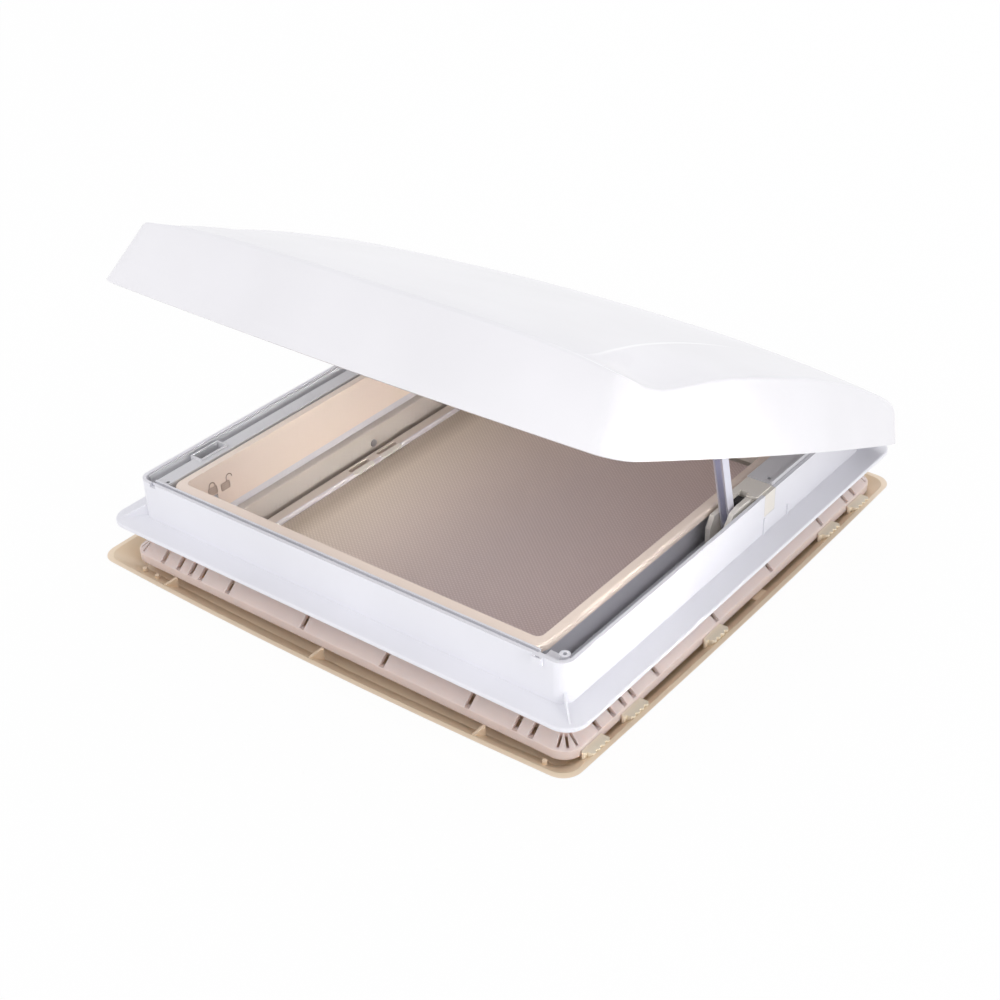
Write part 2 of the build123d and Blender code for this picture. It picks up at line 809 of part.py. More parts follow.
# Stay: aluminium channel that opens to the front; its length follows from the lid angle
lid_tilt = radians(lid_open_angle)
lean = radians(stay_lean)
stay_length = (
    slot_height - (stay_y - hinge_y) * sin(lid_tilt) - (stay_z - hinge_z) * cos(lid_tilt)
) / cos(lean + lid_tilt)
stay_plane = Plane(
    origin=(stay_x, stay_y, stay_z), x_dir=(0, -sin(lean), cos(lean)), z_dir=(1, 0, 0)
)
with BuildPart() as stay:
    with BuildSketch(stay_plane):
        with Locations((stay_length / 2, 0)):
            SlotCenterToCenter(stay_length, stay_depth)
    extrude(amount=stay_width / 2, both=True)
    with BuildSketch(stay_plane):
        with Locations((-stay_depth, stay_wall - stay_depth / 2)):
            Rectangle(
                stay_length + 2 * stay_depth, stay_depth, align=(Align.MIN, Align.MIN)
            )
    extrude(amount=stay_width / 2 - stay_wall, both=True, mode=Mode.SUBTRACT)
    with BuildSketch(stay_plane):
        Circle(stay_pin_radius + running_gap)
    extrude(amount=stay_width, both=True, mode=Mode.SUBTRACT)
    with BuildSketch(stay_plane):
        with Locations((stay_length, 0)):
            Circle(stud_shank_radius + running_gap)
    extrude(amount=stay_width, both=True, mode=Mode.SUBTRACT)
save(stay, "stay")

# Stud that slides along the track of the lid
with BuildPart() as stay_stud:
    with BuildSketch(stay_plane.offset(stay_width / 2 + stud_gap)):
        with Locations((stay_length, 0)):
            Circle(stud_radius)
    extrude(amount=stud_width)
    with BuildSketch(stay_plane.offset(-stay_width / 2)):
        with Locations((stay_length, 0)):
            Circle(stud_shank_radius)
    extrude(amount=stay_width + stud_gap)
    with BuildSketch(stay_plane.offset(-stay_width / 2 - stud_gap)):
        with Locations((stay_length, 0)):
            Circle(stud_radius - stay_wall / 2)
    extrude(amount=-stay_wall)
    with BuildSketch(stay_plane.offset(-stay_width / 2 - stud_gap)):
        with Locations((stay_length, 0)):
            Circle(stud_shank_radius)
    extrude(amount=stud_gap)
save(stay_stud, "stay_stud")

# Slide of the lid lock, in the left gutter: foot bar, tongue and the tab inside the duct
slide_outer = -rail_inner + lock_side_gap
with BuildPart() as lock_slide:
    slide_end = lock_tongue_place + lock_tongue_length / 2
    slide_start = lock_tab_place - lock_tab_length / 2 - lock_end_margin
    with BuildSketch(side_plane(slide_outer)):
        with BuildLine():
            Polyline(
                (slide_start, rail_foot),
                (slide_end, rail_foot),
                (slide_end, lock_tongue_level + lock_tongue_height / 2),
                (slide_end - lock_tongue_length, lock_tongue_level + lock_tongue_height / 2),
                (slide_end - lock_tongue_length, rail_foot + lock_body_height),
                (slide_start, rail_foot + lock_body_height),
                close=True,
            )
        make_face()
    extrude(amount=lock_body_thickness)
    with BuildSketch(side_plane(slide_outer)):
        with Locations((lock_tongue_place, lock_tongue_level)):
            Rectangle(lock_tongue_length, lock_tongue_height)
    extrude(amount=-lock_tongue_reach)
    with BuildSketch(side_plane(slide_outer + lock_body_thickness)):
        with Locations((lock_tab_place, lock_tab_level)):
            Rectangle(lock_tab_length, lock_tab_height)
    extrude(amount=rail_inner - lock_side_gap - lock_body_thickness - duct_inner_x / 2 + lock_tab_reach)
    fillet(lock_slide.edges().filter_by(Axis.Z).group_by(Axis.X)[-1], lock_tab_round)
save(lock_slide, "lock_slide")


def screen_housing(side, level):
    """Box beside the duct for a screen roller; the screen leaves by a slot at level."""
    inner = side * housing_inner
    outer = side * (housing_inner + housing_width)
    middle_z = (housing_top + housing_bottom) / 2
    with BuildPart() as housing:
        with BuildSketch(Plane.XY.offset(housing_bottom)):
            with Locations(((inner + outer) / 2, 0)):
                Rectangle(housing_width, 2 * housing_half_length)
        extrude(amount=housing_depth)
        fillet(housing.edges().filter_by(Axis.Y), edge_round)
        with BuildSketch(front_plane(0)):
            with Locations((-(inner + outer) / 2, middle_z)):
                Rectangle(housing_width - 2 * housing_wall, housing_depth - 2 * housing_wall)
        extrude(amount=housing_half_length - housing_wall, both=True, mode=Mode.SUBTRACT)
        with BuildSketch(side_plane(inner)):
            with Locations((0, level)):
                Rectangle(2 * (housing_half_length - housing_wall), groove_height)
        extrude(amount=side * housing_wall, mode=Mode.SUBTRACT)
        with BuildSketch(front_plane(0)):
            with Locations((-side * roller_place, level + screen_roller_radius + roller_rise)):
                Circle(axle_radius + running_gap)
        extrude(amount=housing_half_length + overrun, both=True, mode=Mode.SUBTRACT)
        with BuildSketch(side_plane(inner)):
            with Locations(*[(place, housing_screw_level) for place in housing_screw_places]):
                Circle(screw_shank_radius + running_gap)
        extrude(amount=side * housing_wall, mode=Mode.SUBTRACT)
    return housing


def screen_roller(side, level):
    """Spring roller with its two axle ends."""
    centre = (-side * roller_place, level + screen_roller_radius + roller_rise)
    with BuildPart() as roller:
        with BuildSketch(front_plane(0)):
            with Locations(centre):
                Circle(screen_roller_radius)
        extrude(amount=housing_half_length - housing_wall - seat_gap, both=True)
        with BuildSketch(front_plane(0)):
            with Locations(centre):
                Circle(axle_radius)
        extrude(amount=housing_half_length - seat_gap, both=True)
    return roller


def screen_bar(place, level, height):
    """Pull bar of a screen: grip with two finger slots, and a shoe at each end."""
    with BuildPart() as bar:
        with BuildSketch(front_plane(0)):
            with Locations((-place, level)):
                RectangleRounded(bar_width, height, edge_round)
        extrude(amount=track_inner - bar_end_gap, both=True)
        with BuildSketch(front_plane(0)):
            with Locations((-place, level)):
                Rectangle(bar_width - 2 * edge_round, bar_shoe_height)
        extrude(amount=track_inner + bar_shoe_reach, both=True)
        with BuildSketch(Plane.XY.offset(level + height)):
            with GridLocations(0, finger_slot_spacing, 1, 2):
                with Locations((place, 0)):
                    SlotOverall(finger_slot_length, finger_slot_width, rotation=90)
        extrude(amount=-height * finger_slot_depth_share, mode=Mode.SUBTRACT)
    return bar


def screen_track(end):
    """Cross track at the front (end -1) or rear (end 1) with a groove for each screen."""
    with BuildPart() as track:
        with BuildSketch(side_plane(0)):
            with Locations((end * (track_inner + track_width / 2), (housing_top + housing_bottom) / 2)):
                Rectangle(track_width, housing_depth)
            for level in (net_level, blind_level):
                with Locations((end * (track_inner + groove_depth / 2), level)):
                    Rectangle(groove_depth, groove_height, mode=Mode.SUBTRACT)
        extrude(amount=track_half_length, both=True)
    return track


# Screens: fly net from the right, blackout blind from the left
net_housing = screen_housing(1, net_level)
save(net_housing, "net_housing")
blind_housing = screen_housing(-1, blind_level)
save(blind_housing, "blind_housing")
net_roller = screen_roller(1, net_level)
save(net_roller, "net_roller")
blind_roller = screen_roller(-1, blind_level)
save(blind_roller, "blind_roller")
front_track = screen_track(-1)
save(front_track, "front_track")
rear_track = screen_track(1)
save(rear_track, "rear_track")
net_bar = screen_bar(net_bar_place, net_level, net_bar_height)
save(net_bar, "net_bar")
blind_bar = screen_bar(blind_bar_place, blind_level, blind_bar_height)
save(blind_bar, "blind_bar")

# The two cloths, stretched between bar and roller
with BuildPart() as fly_net:
    with BuildSketch(Plane.XY.offset(net_level - net_thickness / 2)):
        with Locations((net_bar_place + bar_width / 2 + cloth_gap, 0)):
            Rectangle(
                roller_place - net_bar_place - bar_width / 2 - cloth_gap,
                2 * net_half_width,
                align=(Align.MIN, Align.CENTER),
            )
    extrude(amount=net_thickness)
save(fly_net, "fly_net")
with BuildPart() as blind_cloth:
    with BuildSketch(Plane.XY.offset(blind_level - net_thickness / 2)):
        with Locations((-roller_place, 0)):
            Rectangle(
                roller_place + blind_bar_place - bar_width / 2 - cloth_gap,
                2 * net_half_width,
                align=(Align.MIN, Align.CENTER),
            )
    extrude(amount=net_thickness)
save(blind_cloth, "blind_cloth")

# Screws that hold the screen housings together, two on each inner face
with BuildPart() as housing_screws:
    for side in (-1, 1):
        for place in housing_screw_places:
            spot = (place, housing_screw_level)
            with BuildSketch(side_plane(side * (housing_inner - screw_head_height / 2))):
                with Locations(spot):
                    Circle(screw_head_radius)
            extrude(amount=side * screw_head_height / 2)
            with BuildSketch(side_plane(side * housing_inner)):
                with Locations(spot):
                    Circle(screw_shank_radius)
            extrude(amount=side * housing_wall)
save(housing_screws, "housing_screws")

# Clamp ring that pulls the frame down on the roof from inside
ring_bottom = ring_top - ring_depth
ring_band_top = ring_bottom + ring_band
slope_top_half = ring_half - ring_slope_reach
shelf_middle = (slope_top_half + ring_inner + ring_wall) / 2
slope_middle = ring_half - ring_slope_reach / 2


def ring_block(inset, drop):
    """Block with a sloping top edge, drawn in by inset and lowered by drop."""
    with BuildPart() as block:
        with BuildSketch(Plane.XY.offset(ring_bottom)):
            RectangleRounded(
                2 * (ring_half - inset), 2 * (ring_half - inset), ring_corner - inset
            )
        extrude(amount=ring_band - drop)
        with BuildSketch(Plane.XY.offset(ring_band_top - drop)):
            RectangleRounded(
                2 * (ring_half - inset), 2 * (ring_half - inset), ring_corner - inset
            )
        with BuildSketch(Plane.XY.offset(ring_top - drop)):
            RectangleRounded(
                2 * (slope_top_half - inset),
                2 * (slope_top_half - inset),
                ring_corner - ring_slope_reach + ring_shelf,
            )
        loft()
    return block.part


with BuildPart() as clamp_ring:
    add(ring_block(0, 0))
    with BuildPart(mode=Mode.PRIVATE) as ring_room:
        add(ring_block(ring_wall, ring_shelf))
        with BuildSketch(Plane.XY.offset(ring_bottom)):
            RectangleRounded(
                2 * (ring_inner + ring_wall), 2 * (ring_inner + ring_wall), neck_corner + ring_wall
            )
        extrude(amount=ring_depth, mode=Mode.SUBTRACT)
    add(ring_room.part, mode=Mode.SUBTRACT)
    with BuildSketch(Plane.XY.offset(ring_top)):
        RectangleRounded(2 * ring_inner, 2 * ring_inner, neck_corner + ring_clearance)
    extrude(amount=-ring_depth, mode=Mode.SUBTRACT)
    # Screw slots in the flat part, and the slots and fans cut in the slope
    with BuildSketch(Plane.XY.offset(ring_top)):
        for end in (-1, 1):
            for step in range(ring_side_slots):
                along = (step - (ring_side_slots - 1) / 2) * slot_pitch
                with Locations((end * shelf_middle, along)):
                    SlotOverall(slot_length, slot_width)
    extrude(amount=-ring_shelf, mode=Mode.SUBTRACT)
    with BuildSketch(Plane.XY.offset(ring_top)):
        for end in (-1, 1):
            for place in ring_front_slots:
                with Locations((place, end * slope_middle)):
                    Rectangle(slot_width, slope_slot_length)
                with Locations((end * slope_middle, place)):
                    Rectangle(slope_slot_length, slot_width)
        fan_centre = ring_half - ring_corner
        for turn in ring_fan_angles:
            for corner in range(4):
                angle = turn + corner * 90
                foot_x = fan_centre if corner in (0, 3) else -fan_centre
                foot_y = fan_centre if corner in (0, 1) else -fan_centre
                with Locations(
                    (
                        foot_x + fan_reach * cos(radians(angle)),
                        foot_y + fan_reach * sin(radians(angle)),
                    )
                ):
                    Rectangle(fan_slot_length, slot_width / 2, rotation=angle)
    extrude(amount=ring_band_top - ring_top, mode=Mode.SUBTRACT)
    # Corner tabs for the clamp screws
    tab_inner = post_place - post_radius
    with BuildSketch(Plane.XY.offset(-post_length - seat_gap)):
        with GridLocations(
            tab_inner + ring_inner + ring_wall / 2, tab_inner + ring_inner + ring_wall / 2, 2, 2
        ):
            Rectangle(ring_inner + ring_wall / 2 - tab_inner, ring_inner + ring_wall / 2 - tab_inner)
    extrude(amount=-tab_thickness)
    with BuildSketch(Plane.XY.offset(-post_length)):
        with GridLocations(2 * post_place, 2 * post_place, 2, 2):
            Circle(screw_shank_radius + 2 * running_gap)
    extrude(amount=-tab_thickness - 2 * seat_gap, mode=Mode.SUBTRACT)
save(clamp_ring, "clamp_ring")

# Four clamp screws
screw_seat = -post_length - seat_gap - tab_thickness
with BuildPart() as clamp_screws:
    with BuildSketch(Plane.XY.offset(screw_seat)):
        with GridLocations(2 * post_place, 2 * post_place, 2, 2):
            Circle(screw_head_radius)
    extrude(amount=-screw_head_height)
    fillet(clamp_screws.edges().group_by(Axis.Z)[0], head_round)
    with BuildSketch(Plane.XY.offset(screw_seat - screw_head_height)):
        with GridLocations(2 * post_place, 2 * post_place, 2, 2):
            Rectangle(screw_head_radius, screw_slot_width)
            Rectangle(screw_slot_width, screw_head_radius)
    extrude(amount=screw_head_height / 2, mode=Mode.SUBTRACT)
    with BuildSketch(Plane.XY.offset(screw_seat)):
        with GridLocations(2 * post_place, 2 * post_place, 2, 2):
            Circle(screw_shank_radius)
    extrude(amount=tab_thickness + post_bore_depth / 2)
save(clamp_screws, "clamp_screws")


def bowed_outline(inset, corner):
    """Outline of the ceiling trim: its sides bow out a little and its corners are rounded."""
    half_x = trim_half_x - inset
    front = trim_shift - trim_half_y + inset
    rear = trim_shift + trim_half_y - inset
    with BuildSketch() as outline:
        with BuildLine():
            ThreePointArc((-half_x, front), (0, front - trim_end_bow), (half_x, front))
            ThreePointArc((half_x, front), (half_x + trim_side_bow, trim_shift), (half_x, rear))
            ThreePointArc((half_x, rear), (0, rear + trim_end_bow), (-half_x, rear))
            ThreePointArc((-half_x, rear), (-half_x - trim_side_bow, trim_shift), (-half_x, front))
        make_face()
        fillet(outline.vertices(), corner)
    return Pos(trim_sideways, 0) * outline.sketch


def trim_dish(inset, lift):
    """Solid dish with sloping sides, drawn in by inset and raised by lift."""
    with BuildPart() as dish:
        with BuildSketch(Plane.XY.offset(trim_rim_level + lift)):
            add(bowed_outline(inset, trim_corner))
        with BuildSketch(Plane.XY.offset(trim_bottom + lift)):
            add(bowed_outline(inset + trim_slope_reach, trim_foot_corner))
        loft()
    return dish.part


# Ceiling trim: the visible inner frame, a shallow dish with its rim against the ceiling
trim_floor_top = trim_bottom + trim_floor
with BuildPart() as ceiling_trim:
    add(trim_dish(0, 0))
    add(trim_dish(0, trim_floor), mode=Mode.SUBTRACT)
    with BuildSketch(Plane.XY.offset(trim_bottom)):
        RectangleRounded(
            trim_opening_x + 2 * trim_wall, trim_opening_y + 2 * trim_wall, duct_corner
        )
    extrude(amount=housing_bottom - seat_gap - trim_bottom)
    with BuildSketch(Plane.XY.offset(trim_bottom)):
        RectangleRounded(trim_opening_x, trim_opening_y, duct_corner - trim_wall)
    extrude(amount=housing_depth, mode=Mode.SUBTRACT)
    # Locating pegs, a pad and stiffening ribs on the slope of the trim
    with BuildPart(mode=Mode.PRIVATE) as trim_studs:
        with BuildSketch(Plane.XY.offset(trim_bottom)):
            with Locations(*trim_pegs):
                Circle(peg_radius)
        extrude(amount=peg_top - trim_bottom)
        with BuildSketch(Plane.XY.offset(trim_bottom)):
            with Locations(trim_pad):
                Circle(trim_pad_radius)
        extrude(amount=trim_pad_top - trim_bottom)
        for place in trim_ribs:
            for end in (-1, 1):
                with BuildSketch(side_plane(place)):
                    with Locations((end * (ring_half + trim_rib_gap), trim_bottom)):
                        Rectangle(
                            trim_end_reach + trim_end_bow,
                            trim_rib_top - trim_bottom,
                            align=(Align.MIN if end == 1 else Align.MAX, Align.MIN),
                        )
                extrude(amount=trim_wall / 2, both=True)
        add(trim_dish(0, trim_floor / 2), mode=Mode.INTERSECT)
    add(trim_studs.part)
save(ceiling_trim, "ceiling_trim")

# Comb clips between trim and clamp ring
clip_foot = ring_half + seat_gap
with BuildPart() as trim_clips:
    for place in clip_places:
        with BuildSketch(Plane.XY.offset(trim_floor_top)):
            with Locations((clip_foot, place)):
                Rectangle(clip_base, clip_length, align=(Align.MIN, Align.CENTER))
            for tooth in range(clip_teeth):
                along = (tooth - (clip_teeth - 1) / 2) * clip_length / clip_teeth
                with Locations((clip_foot + clip_base, place + along)):
                    Circle(clip_tooth / 2)
            with Locations((clip_foot + peg_radius, place - clip_length / 2 - peg_radius / 2)):
                Circle(peg_radius)
        extrude(amount=clip_top - trim_floor_top)
    add(trim_dish(seat_gap, trim_floor), mode=Mode.INTERSECT)
save(trim_clips, "trim_clips")

# Lid: drawn in the plane of its rim, which is turned open about the hinge axis
lid_plane = Plane(
    origin=(0, hinge_y, hinge_z), x_dir=(1, 0, 0), z_dir=(0, sin(lid_tilt), cos(lid_tilt))
)
lid_middle = -hinge_y


def lid_side(x):
    """Plane along the lid; its x axis runs to the rear and its y axis up from the hinge."""
    return Plane(
        origin=lid_plane.from_local_coords((x, 0, 0)), x_dir=lid_plane.y_dir, z_dir=(1, 0, 0)
    )


def lid_cross(along):
    """Plane across the lid at a distance from its rear edge."""
    return Plane(
        origin=lid_plane.from_local_coords((0, lid_rear_edge - along, lid_rim_level)),
        x_dir=(-1, 0, 0),
        z_dir=lid_plane.y_dir,
    )


def lid_outline(side, front, rear, inset, corner):
    """Outline of the lid drawn in by its draft at the side, front and rear."""
    half = lid_half_width - side - inset
    front_y = lid_rear_edge - lid_length + lid_front_bow + front + inset
    rear_y = lid_rear_edge - rear - inset
    middle_y = (front_y + rear_y) / 2
    with BuildSketch() as outline:
        with BuildLine():
            ThreePointArc((-half, front_y), (0, front_y - lid_front_bow), (half, front_y))
            ThreePointArc((half, front_y), (half + lid_side_bow, middle_y), (half, rear_y))
            Line((half, rear_y), (-half, rear_y))
            ThreePointArc((-half, rear_y), (-half - lid_side_bow, middle_y), (-half, front_y))
        make_face()
        fillet(outline.vertices(), corner - inset)
    return outline.sketch


def lid_crown(inset):
    """Solid under the crown: a smooth dome with a scoop along each side."""
    with BuildPart() as crown:
        for along, centre, edge in crown_sections:
            with BuildSketch(lid_cross(along)):
                shoulder = centre - crown_shoulder_drop_share * (centre - edge)
                shoulder_x = crown_shoulder_share * lid_half_width
                with BuildLine():
                    Spline(
                        (-lid_half_width, edge - inset),
                        (-shoulder_x, shoulder - inset),
                        (0, centre - inset),
                        (shoulder_x, shoulder - inset),
                        (lid_half_width, edge - inset),
                    )
                    Polyline(
                        (lid_half_width, edge - inset),
                        (lid_reach, edge - lid_edge_drop - inset),
                        (lid_reach, -overrun),
                        (-lid_reach, -overrun),
                        (-lid_reach, edge - lid_edge_drop - inset),
                        (-lid_half_width, edge - inset),
                    )
                make_face()
        loft()
        # The rear of the crown turns down to the rear wall
        with BuildSketch(lid_side(-lid_reach)):
            with BuildLine():
                fall = Spline(
                    *[
                        (lid_rear_edge - along, lid_rim_level + height - inset)
                        for along, height in rear_profile
                    ]
                )
                Polyline(
                    fall @ 1,
                    (-lid_length, (fall @ 1).Y),
                    (-lid_length, 0),
                    ((fall @ 0).X, 0),
                    fall @ 0,
                )
            make_face()
        extrude(amount=2 * lid_reach, mode=Mode.INTERSECT)
    form = crown.part
    for side in (-1, 1):
        with BuildPart() as scoop:
            with BuildSketch(lid_side(side * lid_reach)):
                with BuildLine():
                    floor = Spline(
                        *[
                            (lid_rear_edge - along, lid_rim_level + height - inset)
                            for along, height in scoop_floor
                        ]
                    )
                    Polyline(
                        floor @ 1,
                        ((floor @ 1).X, lid_reach),
                        ((floor @ 0).X, lid_reach),
                        floor @ 0,
                    )
                make_face()
            extrude(amount=-side * (lid_reach - lid_half_width / 2))
        with BuildPart() as beside_crown:
            for level, shift in (
                (scoop_low_level, scoop_low_shift), (scoop_high_level, scoop_high_shift)
            ):
                with BuildSketch(lid_plane.offset(lid_rim_level + level)):
                    with BuildLine():
                        crease = Spline(
                            *[
                                (side * (half + shift - inset / 2), lid_rear_edge - along)
                                for along, half in scoop_crease
                            ]
                        )
                        Polyline(
                            crease @ 1,
                            (side * lid_reach, (crease @ 1).Y),
                            (side * lid_reach, (crease @ 0).Y),
                            crease @ 0,
                        )
                    make_face()
            loft()
        form = form - (scoop.part & beside_crown.part)
    return form


def lid_form(inset):
    """Solid under the lid's outside surface, drawn in all round by inset."""
    with BuildPart() as form:
        with BuildSketch(lid_plane.offset(lid_rim_level)):
            add(lid_outline(0, 0, 0, inset, lid_rim_corner))
        with BuildSketch(lid_plane.offset(lid_rim_level + lid_top_level)):
            add(
                lid_outline(
                    lid_side_draft, lid_front_draft, lid_rear_draft, inset, lid_crest_corner
                )
            )
        loft()
        add(lid_crown(inset), mode=Mode.INTERSECT)
    return form.part


# Ribs and posts under the crown of the lid
rib_foot = duct_top + seat_gap + seal_profile_height - hinge_z
track_top = slot_height + stud_radius + slide_play + track_wall
track_x = stay_x + stay_width / 2 + track_gap
track_depth = stud_gap + stud_width + track_floor_gap + track_wall - track_gap
with BuildPart() as lid_ribs:
    with BuildSketch(lid_plane.offset(rib_foot)):
        with Locations((0, lid_middle)):
            RectangleRounded(
                2 * rib_half_x + rib_wall, 2 * rib_half_y + rib_wall, rib_corner + rib_wall / 2
            )
            RectangleRounded(
                2 * rib_half_x - rib_wall,
                2 * rib_half_y - rib_wall,
                rib_corner - rib_wall / 2,
                mode=Mode.SUBTRACT,
            )
    extrude(amount=lid_top_level)
    with BuildSketch(lid_plane.offset(track_top + seat_gap)):
        for place in track_posts:
            with Locations((track_x + track_depth / 2, place)):
                Circle(track_depth / 2)
    extrude(amount=lid_top_level)
    with BuildSketch(lid_plane.offset(striker_top + seat_gap)):
        with Locations((-striker_x, striker_centre_y - hinge_y)):
            Circle(striker_thickness)
    extrude(amount=lid_top_level)
    add(lid_form(lid_wall / 2), mode=Mode.INTERSECT)

with BuildPart() as lid_shell:
    add(lid_form(0))
    add(lid_form(lid_wall), mode=Mode.SUBTRACT)
    add(lid_ribs.part)
save(lid_shell, "lid_shell")

# Rubber seal on the edge of the rib; it meets the rim of the duct
with BuildPart() as lid_seal:
    with BuildSketch(lid_plane.offset(rib_foot)):
        with Locations((0, lid_middle)):
            RectangleRounded(
                2 * rib_half_x + seal_profile_width,
                2 * rib_half_y + seal_profile_width,
                rib_corner + seal_profile_width / 2,
            )
            RectangleRounded(
                2 * rib_half_x - seal_profile_width,
                2 * rib_half_y - seal_profile_width,
                rib_corner - seal_profile_width / 2,
                mode=Mode.SUBTRACT,
            )
    extrude(amount=-seal_profile_height)
save(lid_seal, "lid_seal")

# Inner skin of the lid, inside the rib
with BuildPart() as lid_liner:
    with BuildSketch(lid_plane.offset(lid_rim_level + liner_level)):
        with Locations((0, lid_middle)):
            RectangleRounded(
                2 * rib_half_x - rib_wall - 2 * liner_clearance,
                2 * rib_half_y - rib_wall - 2 * liner_clearance,
                rib_corner - rib_wall,
            )
    extrude(amount=liner_thickness)
save(lid_liner, "lid_liner")

# Track for the stud of the stay: a C-shaped channel with closed ends
track_height = 2 * (stud_radius + slide_play)
with BuildPart() as stay_track:
    with BuildSketch(lid_side(track_x)):
        with Locations(((track_front + track_rear) / 2, slot_height)):
            Rectangle(track_rear - track_front, track_height + 2 * track_wall)
    extrude(amount=track_depth)
    with BuildSketch(lid_side(track_x)):
        with Locations(((track_front + track_rear) / 2, slot_height)):
            Rectangle(track_rear - track_front - 2 * track_wall, track_height)
    extrude(amount=track_depth - track_wall, mode=Mode.SUBTRACT)
save(stay_track, "stay_track")

# Striker of the lid lock, with a groove for the tongue of the slide
striker_y = striker_centre_y - hinge_y
with BuildPart() as lock_striker:
    with BuildSketch(lid_side(-striker_x)):
        with Locations((striker_y, striker_tip - hinge_z)):
            Rectangle(
                striker_length, striker_top - striker_tip + hinge_z, align=(Align.CENTER, Align.MIN)
            )
    extrude(amount=striker_thickness / 2, both=True)
    chamfer(
        lock_striker.edges().filter_by(Axis((0, 0, 0), lid_plane.y_dir)).sort_by(Axis.Z)[:2],
        striker_lead,
    )
    with BuildSketch(lid_side(-striker_x + striker_thickness / 2)):
        with Locations((striker_y, lock_tongue_level - hinge_z)):
            Rectangle(striker_length, striker_groove_height)
    extrude(amount=-striker_groove_depth, mode=Mode.SUBTRACT)
save(lock_striker, "lock_striker")


def hinge_arm(side):
    """Arm under the lid that turns on a hinge pin."""
    middle = lid_side(side * hinge_arm_centre)
    with BuildPart() as arm:
        with BuildSketch(middle):
            with Locations((arm_front, lid_rim_level / 2)):
                Rectangle(2 * barrel_radius + arm_front, lid_top_level, align=(Align.MIN, Align.MIN))
        extrude(amount=hinge_arm_width / 2, both=True)
        add(lid_form(lid_wall + seat_gap), mode=Mode.INTERSECT)
        with BuildSketch(middle):
            Circle(barrel_radius)
            with Locations((arm_front, 0)):
                Rectangle(
                    arm_neck, lid_rim_level + seat_gap, align=(Align.MIN, Align.MIN)
                )
        extrude(amount=hinge_arm_width / 2, both=True)
        with BuildSketch(middle):
            Circle(hinge_pin_radius + running_gap)
        extrude(amount=hinge_arm_width, both=True, mode=Mode.SUBTRACT)
    return arm


left_hinge_arm = hinge_arm(-1)
save(left_hinge_arm, "left_hinge_arm")
right_hinge_arm = hinge_arm(1)
save(right_hinge_arm, "right_hinge_arm")

# The two hinge pins
with BuildPart() as hinge_pins:
    pin_half = hinge_arm_width / 2 + ear_side_gap + ear_width + hinge_pin_overhang
    for side in (-1, 1):
        with BuildSketch(side_plane(side * hinge_arm_centre)):
            with Locations((hinge_y, hinge_z)):
                Circle(hinge_pin_radius)
        extrude(amount=pin_half, both=True)
    chamfer(hinge_pins.edges(), seat_gap)
save(hinge_pins, "hinge_pins")
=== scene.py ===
import math

import bmesh
import bpy
from mathutils import Matrix, Vector


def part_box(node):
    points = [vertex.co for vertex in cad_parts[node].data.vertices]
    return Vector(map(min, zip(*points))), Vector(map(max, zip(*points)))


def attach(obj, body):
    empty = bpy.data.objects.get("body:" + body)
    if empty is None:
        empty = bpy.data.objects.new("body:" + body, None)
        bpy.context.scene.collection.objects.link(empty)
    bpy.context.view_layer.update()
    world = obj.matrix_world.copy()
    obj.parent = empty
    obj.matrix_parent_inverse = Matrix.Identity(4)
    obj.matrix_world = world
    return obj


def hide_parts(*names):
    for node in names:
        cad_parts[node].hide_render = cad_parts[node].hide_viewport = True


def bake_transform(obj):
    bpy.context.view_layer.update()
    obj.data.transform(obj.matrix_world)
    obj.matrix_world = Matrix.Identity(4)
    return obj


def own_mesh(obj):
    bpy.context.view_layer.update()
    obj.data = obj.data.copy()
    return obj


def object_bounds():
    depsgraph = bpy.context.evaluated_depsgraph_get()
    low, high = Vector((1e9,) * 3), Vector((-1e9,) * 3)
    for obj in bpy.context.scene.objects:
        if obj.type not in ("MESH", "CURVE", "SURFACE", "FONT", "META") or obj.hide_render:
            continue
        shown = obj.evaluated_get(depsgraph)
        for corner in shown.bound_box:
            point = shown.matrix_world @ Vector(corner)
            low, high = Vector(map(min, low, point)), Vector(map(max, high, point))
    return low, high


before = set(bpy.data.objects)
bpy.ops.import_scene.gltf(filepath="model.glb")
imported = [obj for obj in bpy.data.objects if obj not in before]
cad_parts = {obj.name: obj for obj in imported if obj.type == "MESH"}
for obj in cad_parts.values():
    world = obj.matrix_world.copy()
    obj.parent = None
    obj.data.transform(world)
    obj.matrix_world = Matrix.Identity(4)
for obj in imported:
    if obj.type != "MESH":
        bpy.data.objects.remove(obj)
cad_box = [list(corner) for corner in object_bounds()]

# Studio. The camera stands where the photograph was taken from: in front of the near right
# corner and above it. The floor is pale and shows plain white to the camera.
view_azimuth = math.radians(39.038)
view_elevation = math.radians(32.263)
view_roll = math.radians(-2.232)
view_distance = 1.420855
view_slide = (0.007764, 0.014119)
lens_pixels = 1690.449
photo_pixels = 1000
sensor_width = 36.0
far_limit = 50

across = Vector((math.cos(view_azimuth), math.sin(view_azimuth), 0))
towards = Vector((
    math.sin(view_azimuth) * math.cos(view_elevation),
    -math.cos(view_azimuth) * math.cos(view_elevation),
    math.sin(view_elevation),
))
upwards = towards.cross(across)
camera_x = math.cos(view_roll) * across + math.sin(view_roll) * upwards
camera_y = -math.sin(view_roll) * across + math.cos(view_roll) * upwards
camera_place = (
    view_distance * towards - view_slide[0] * camera_x - view_slide[1] * camera_y
)


def stand(name, data):
    """A new object, stood in the studio."""
    thing = bpy.data.objects.new(name, data)
    bpy.context.scene.collection.objects.link(thing)
    return thing


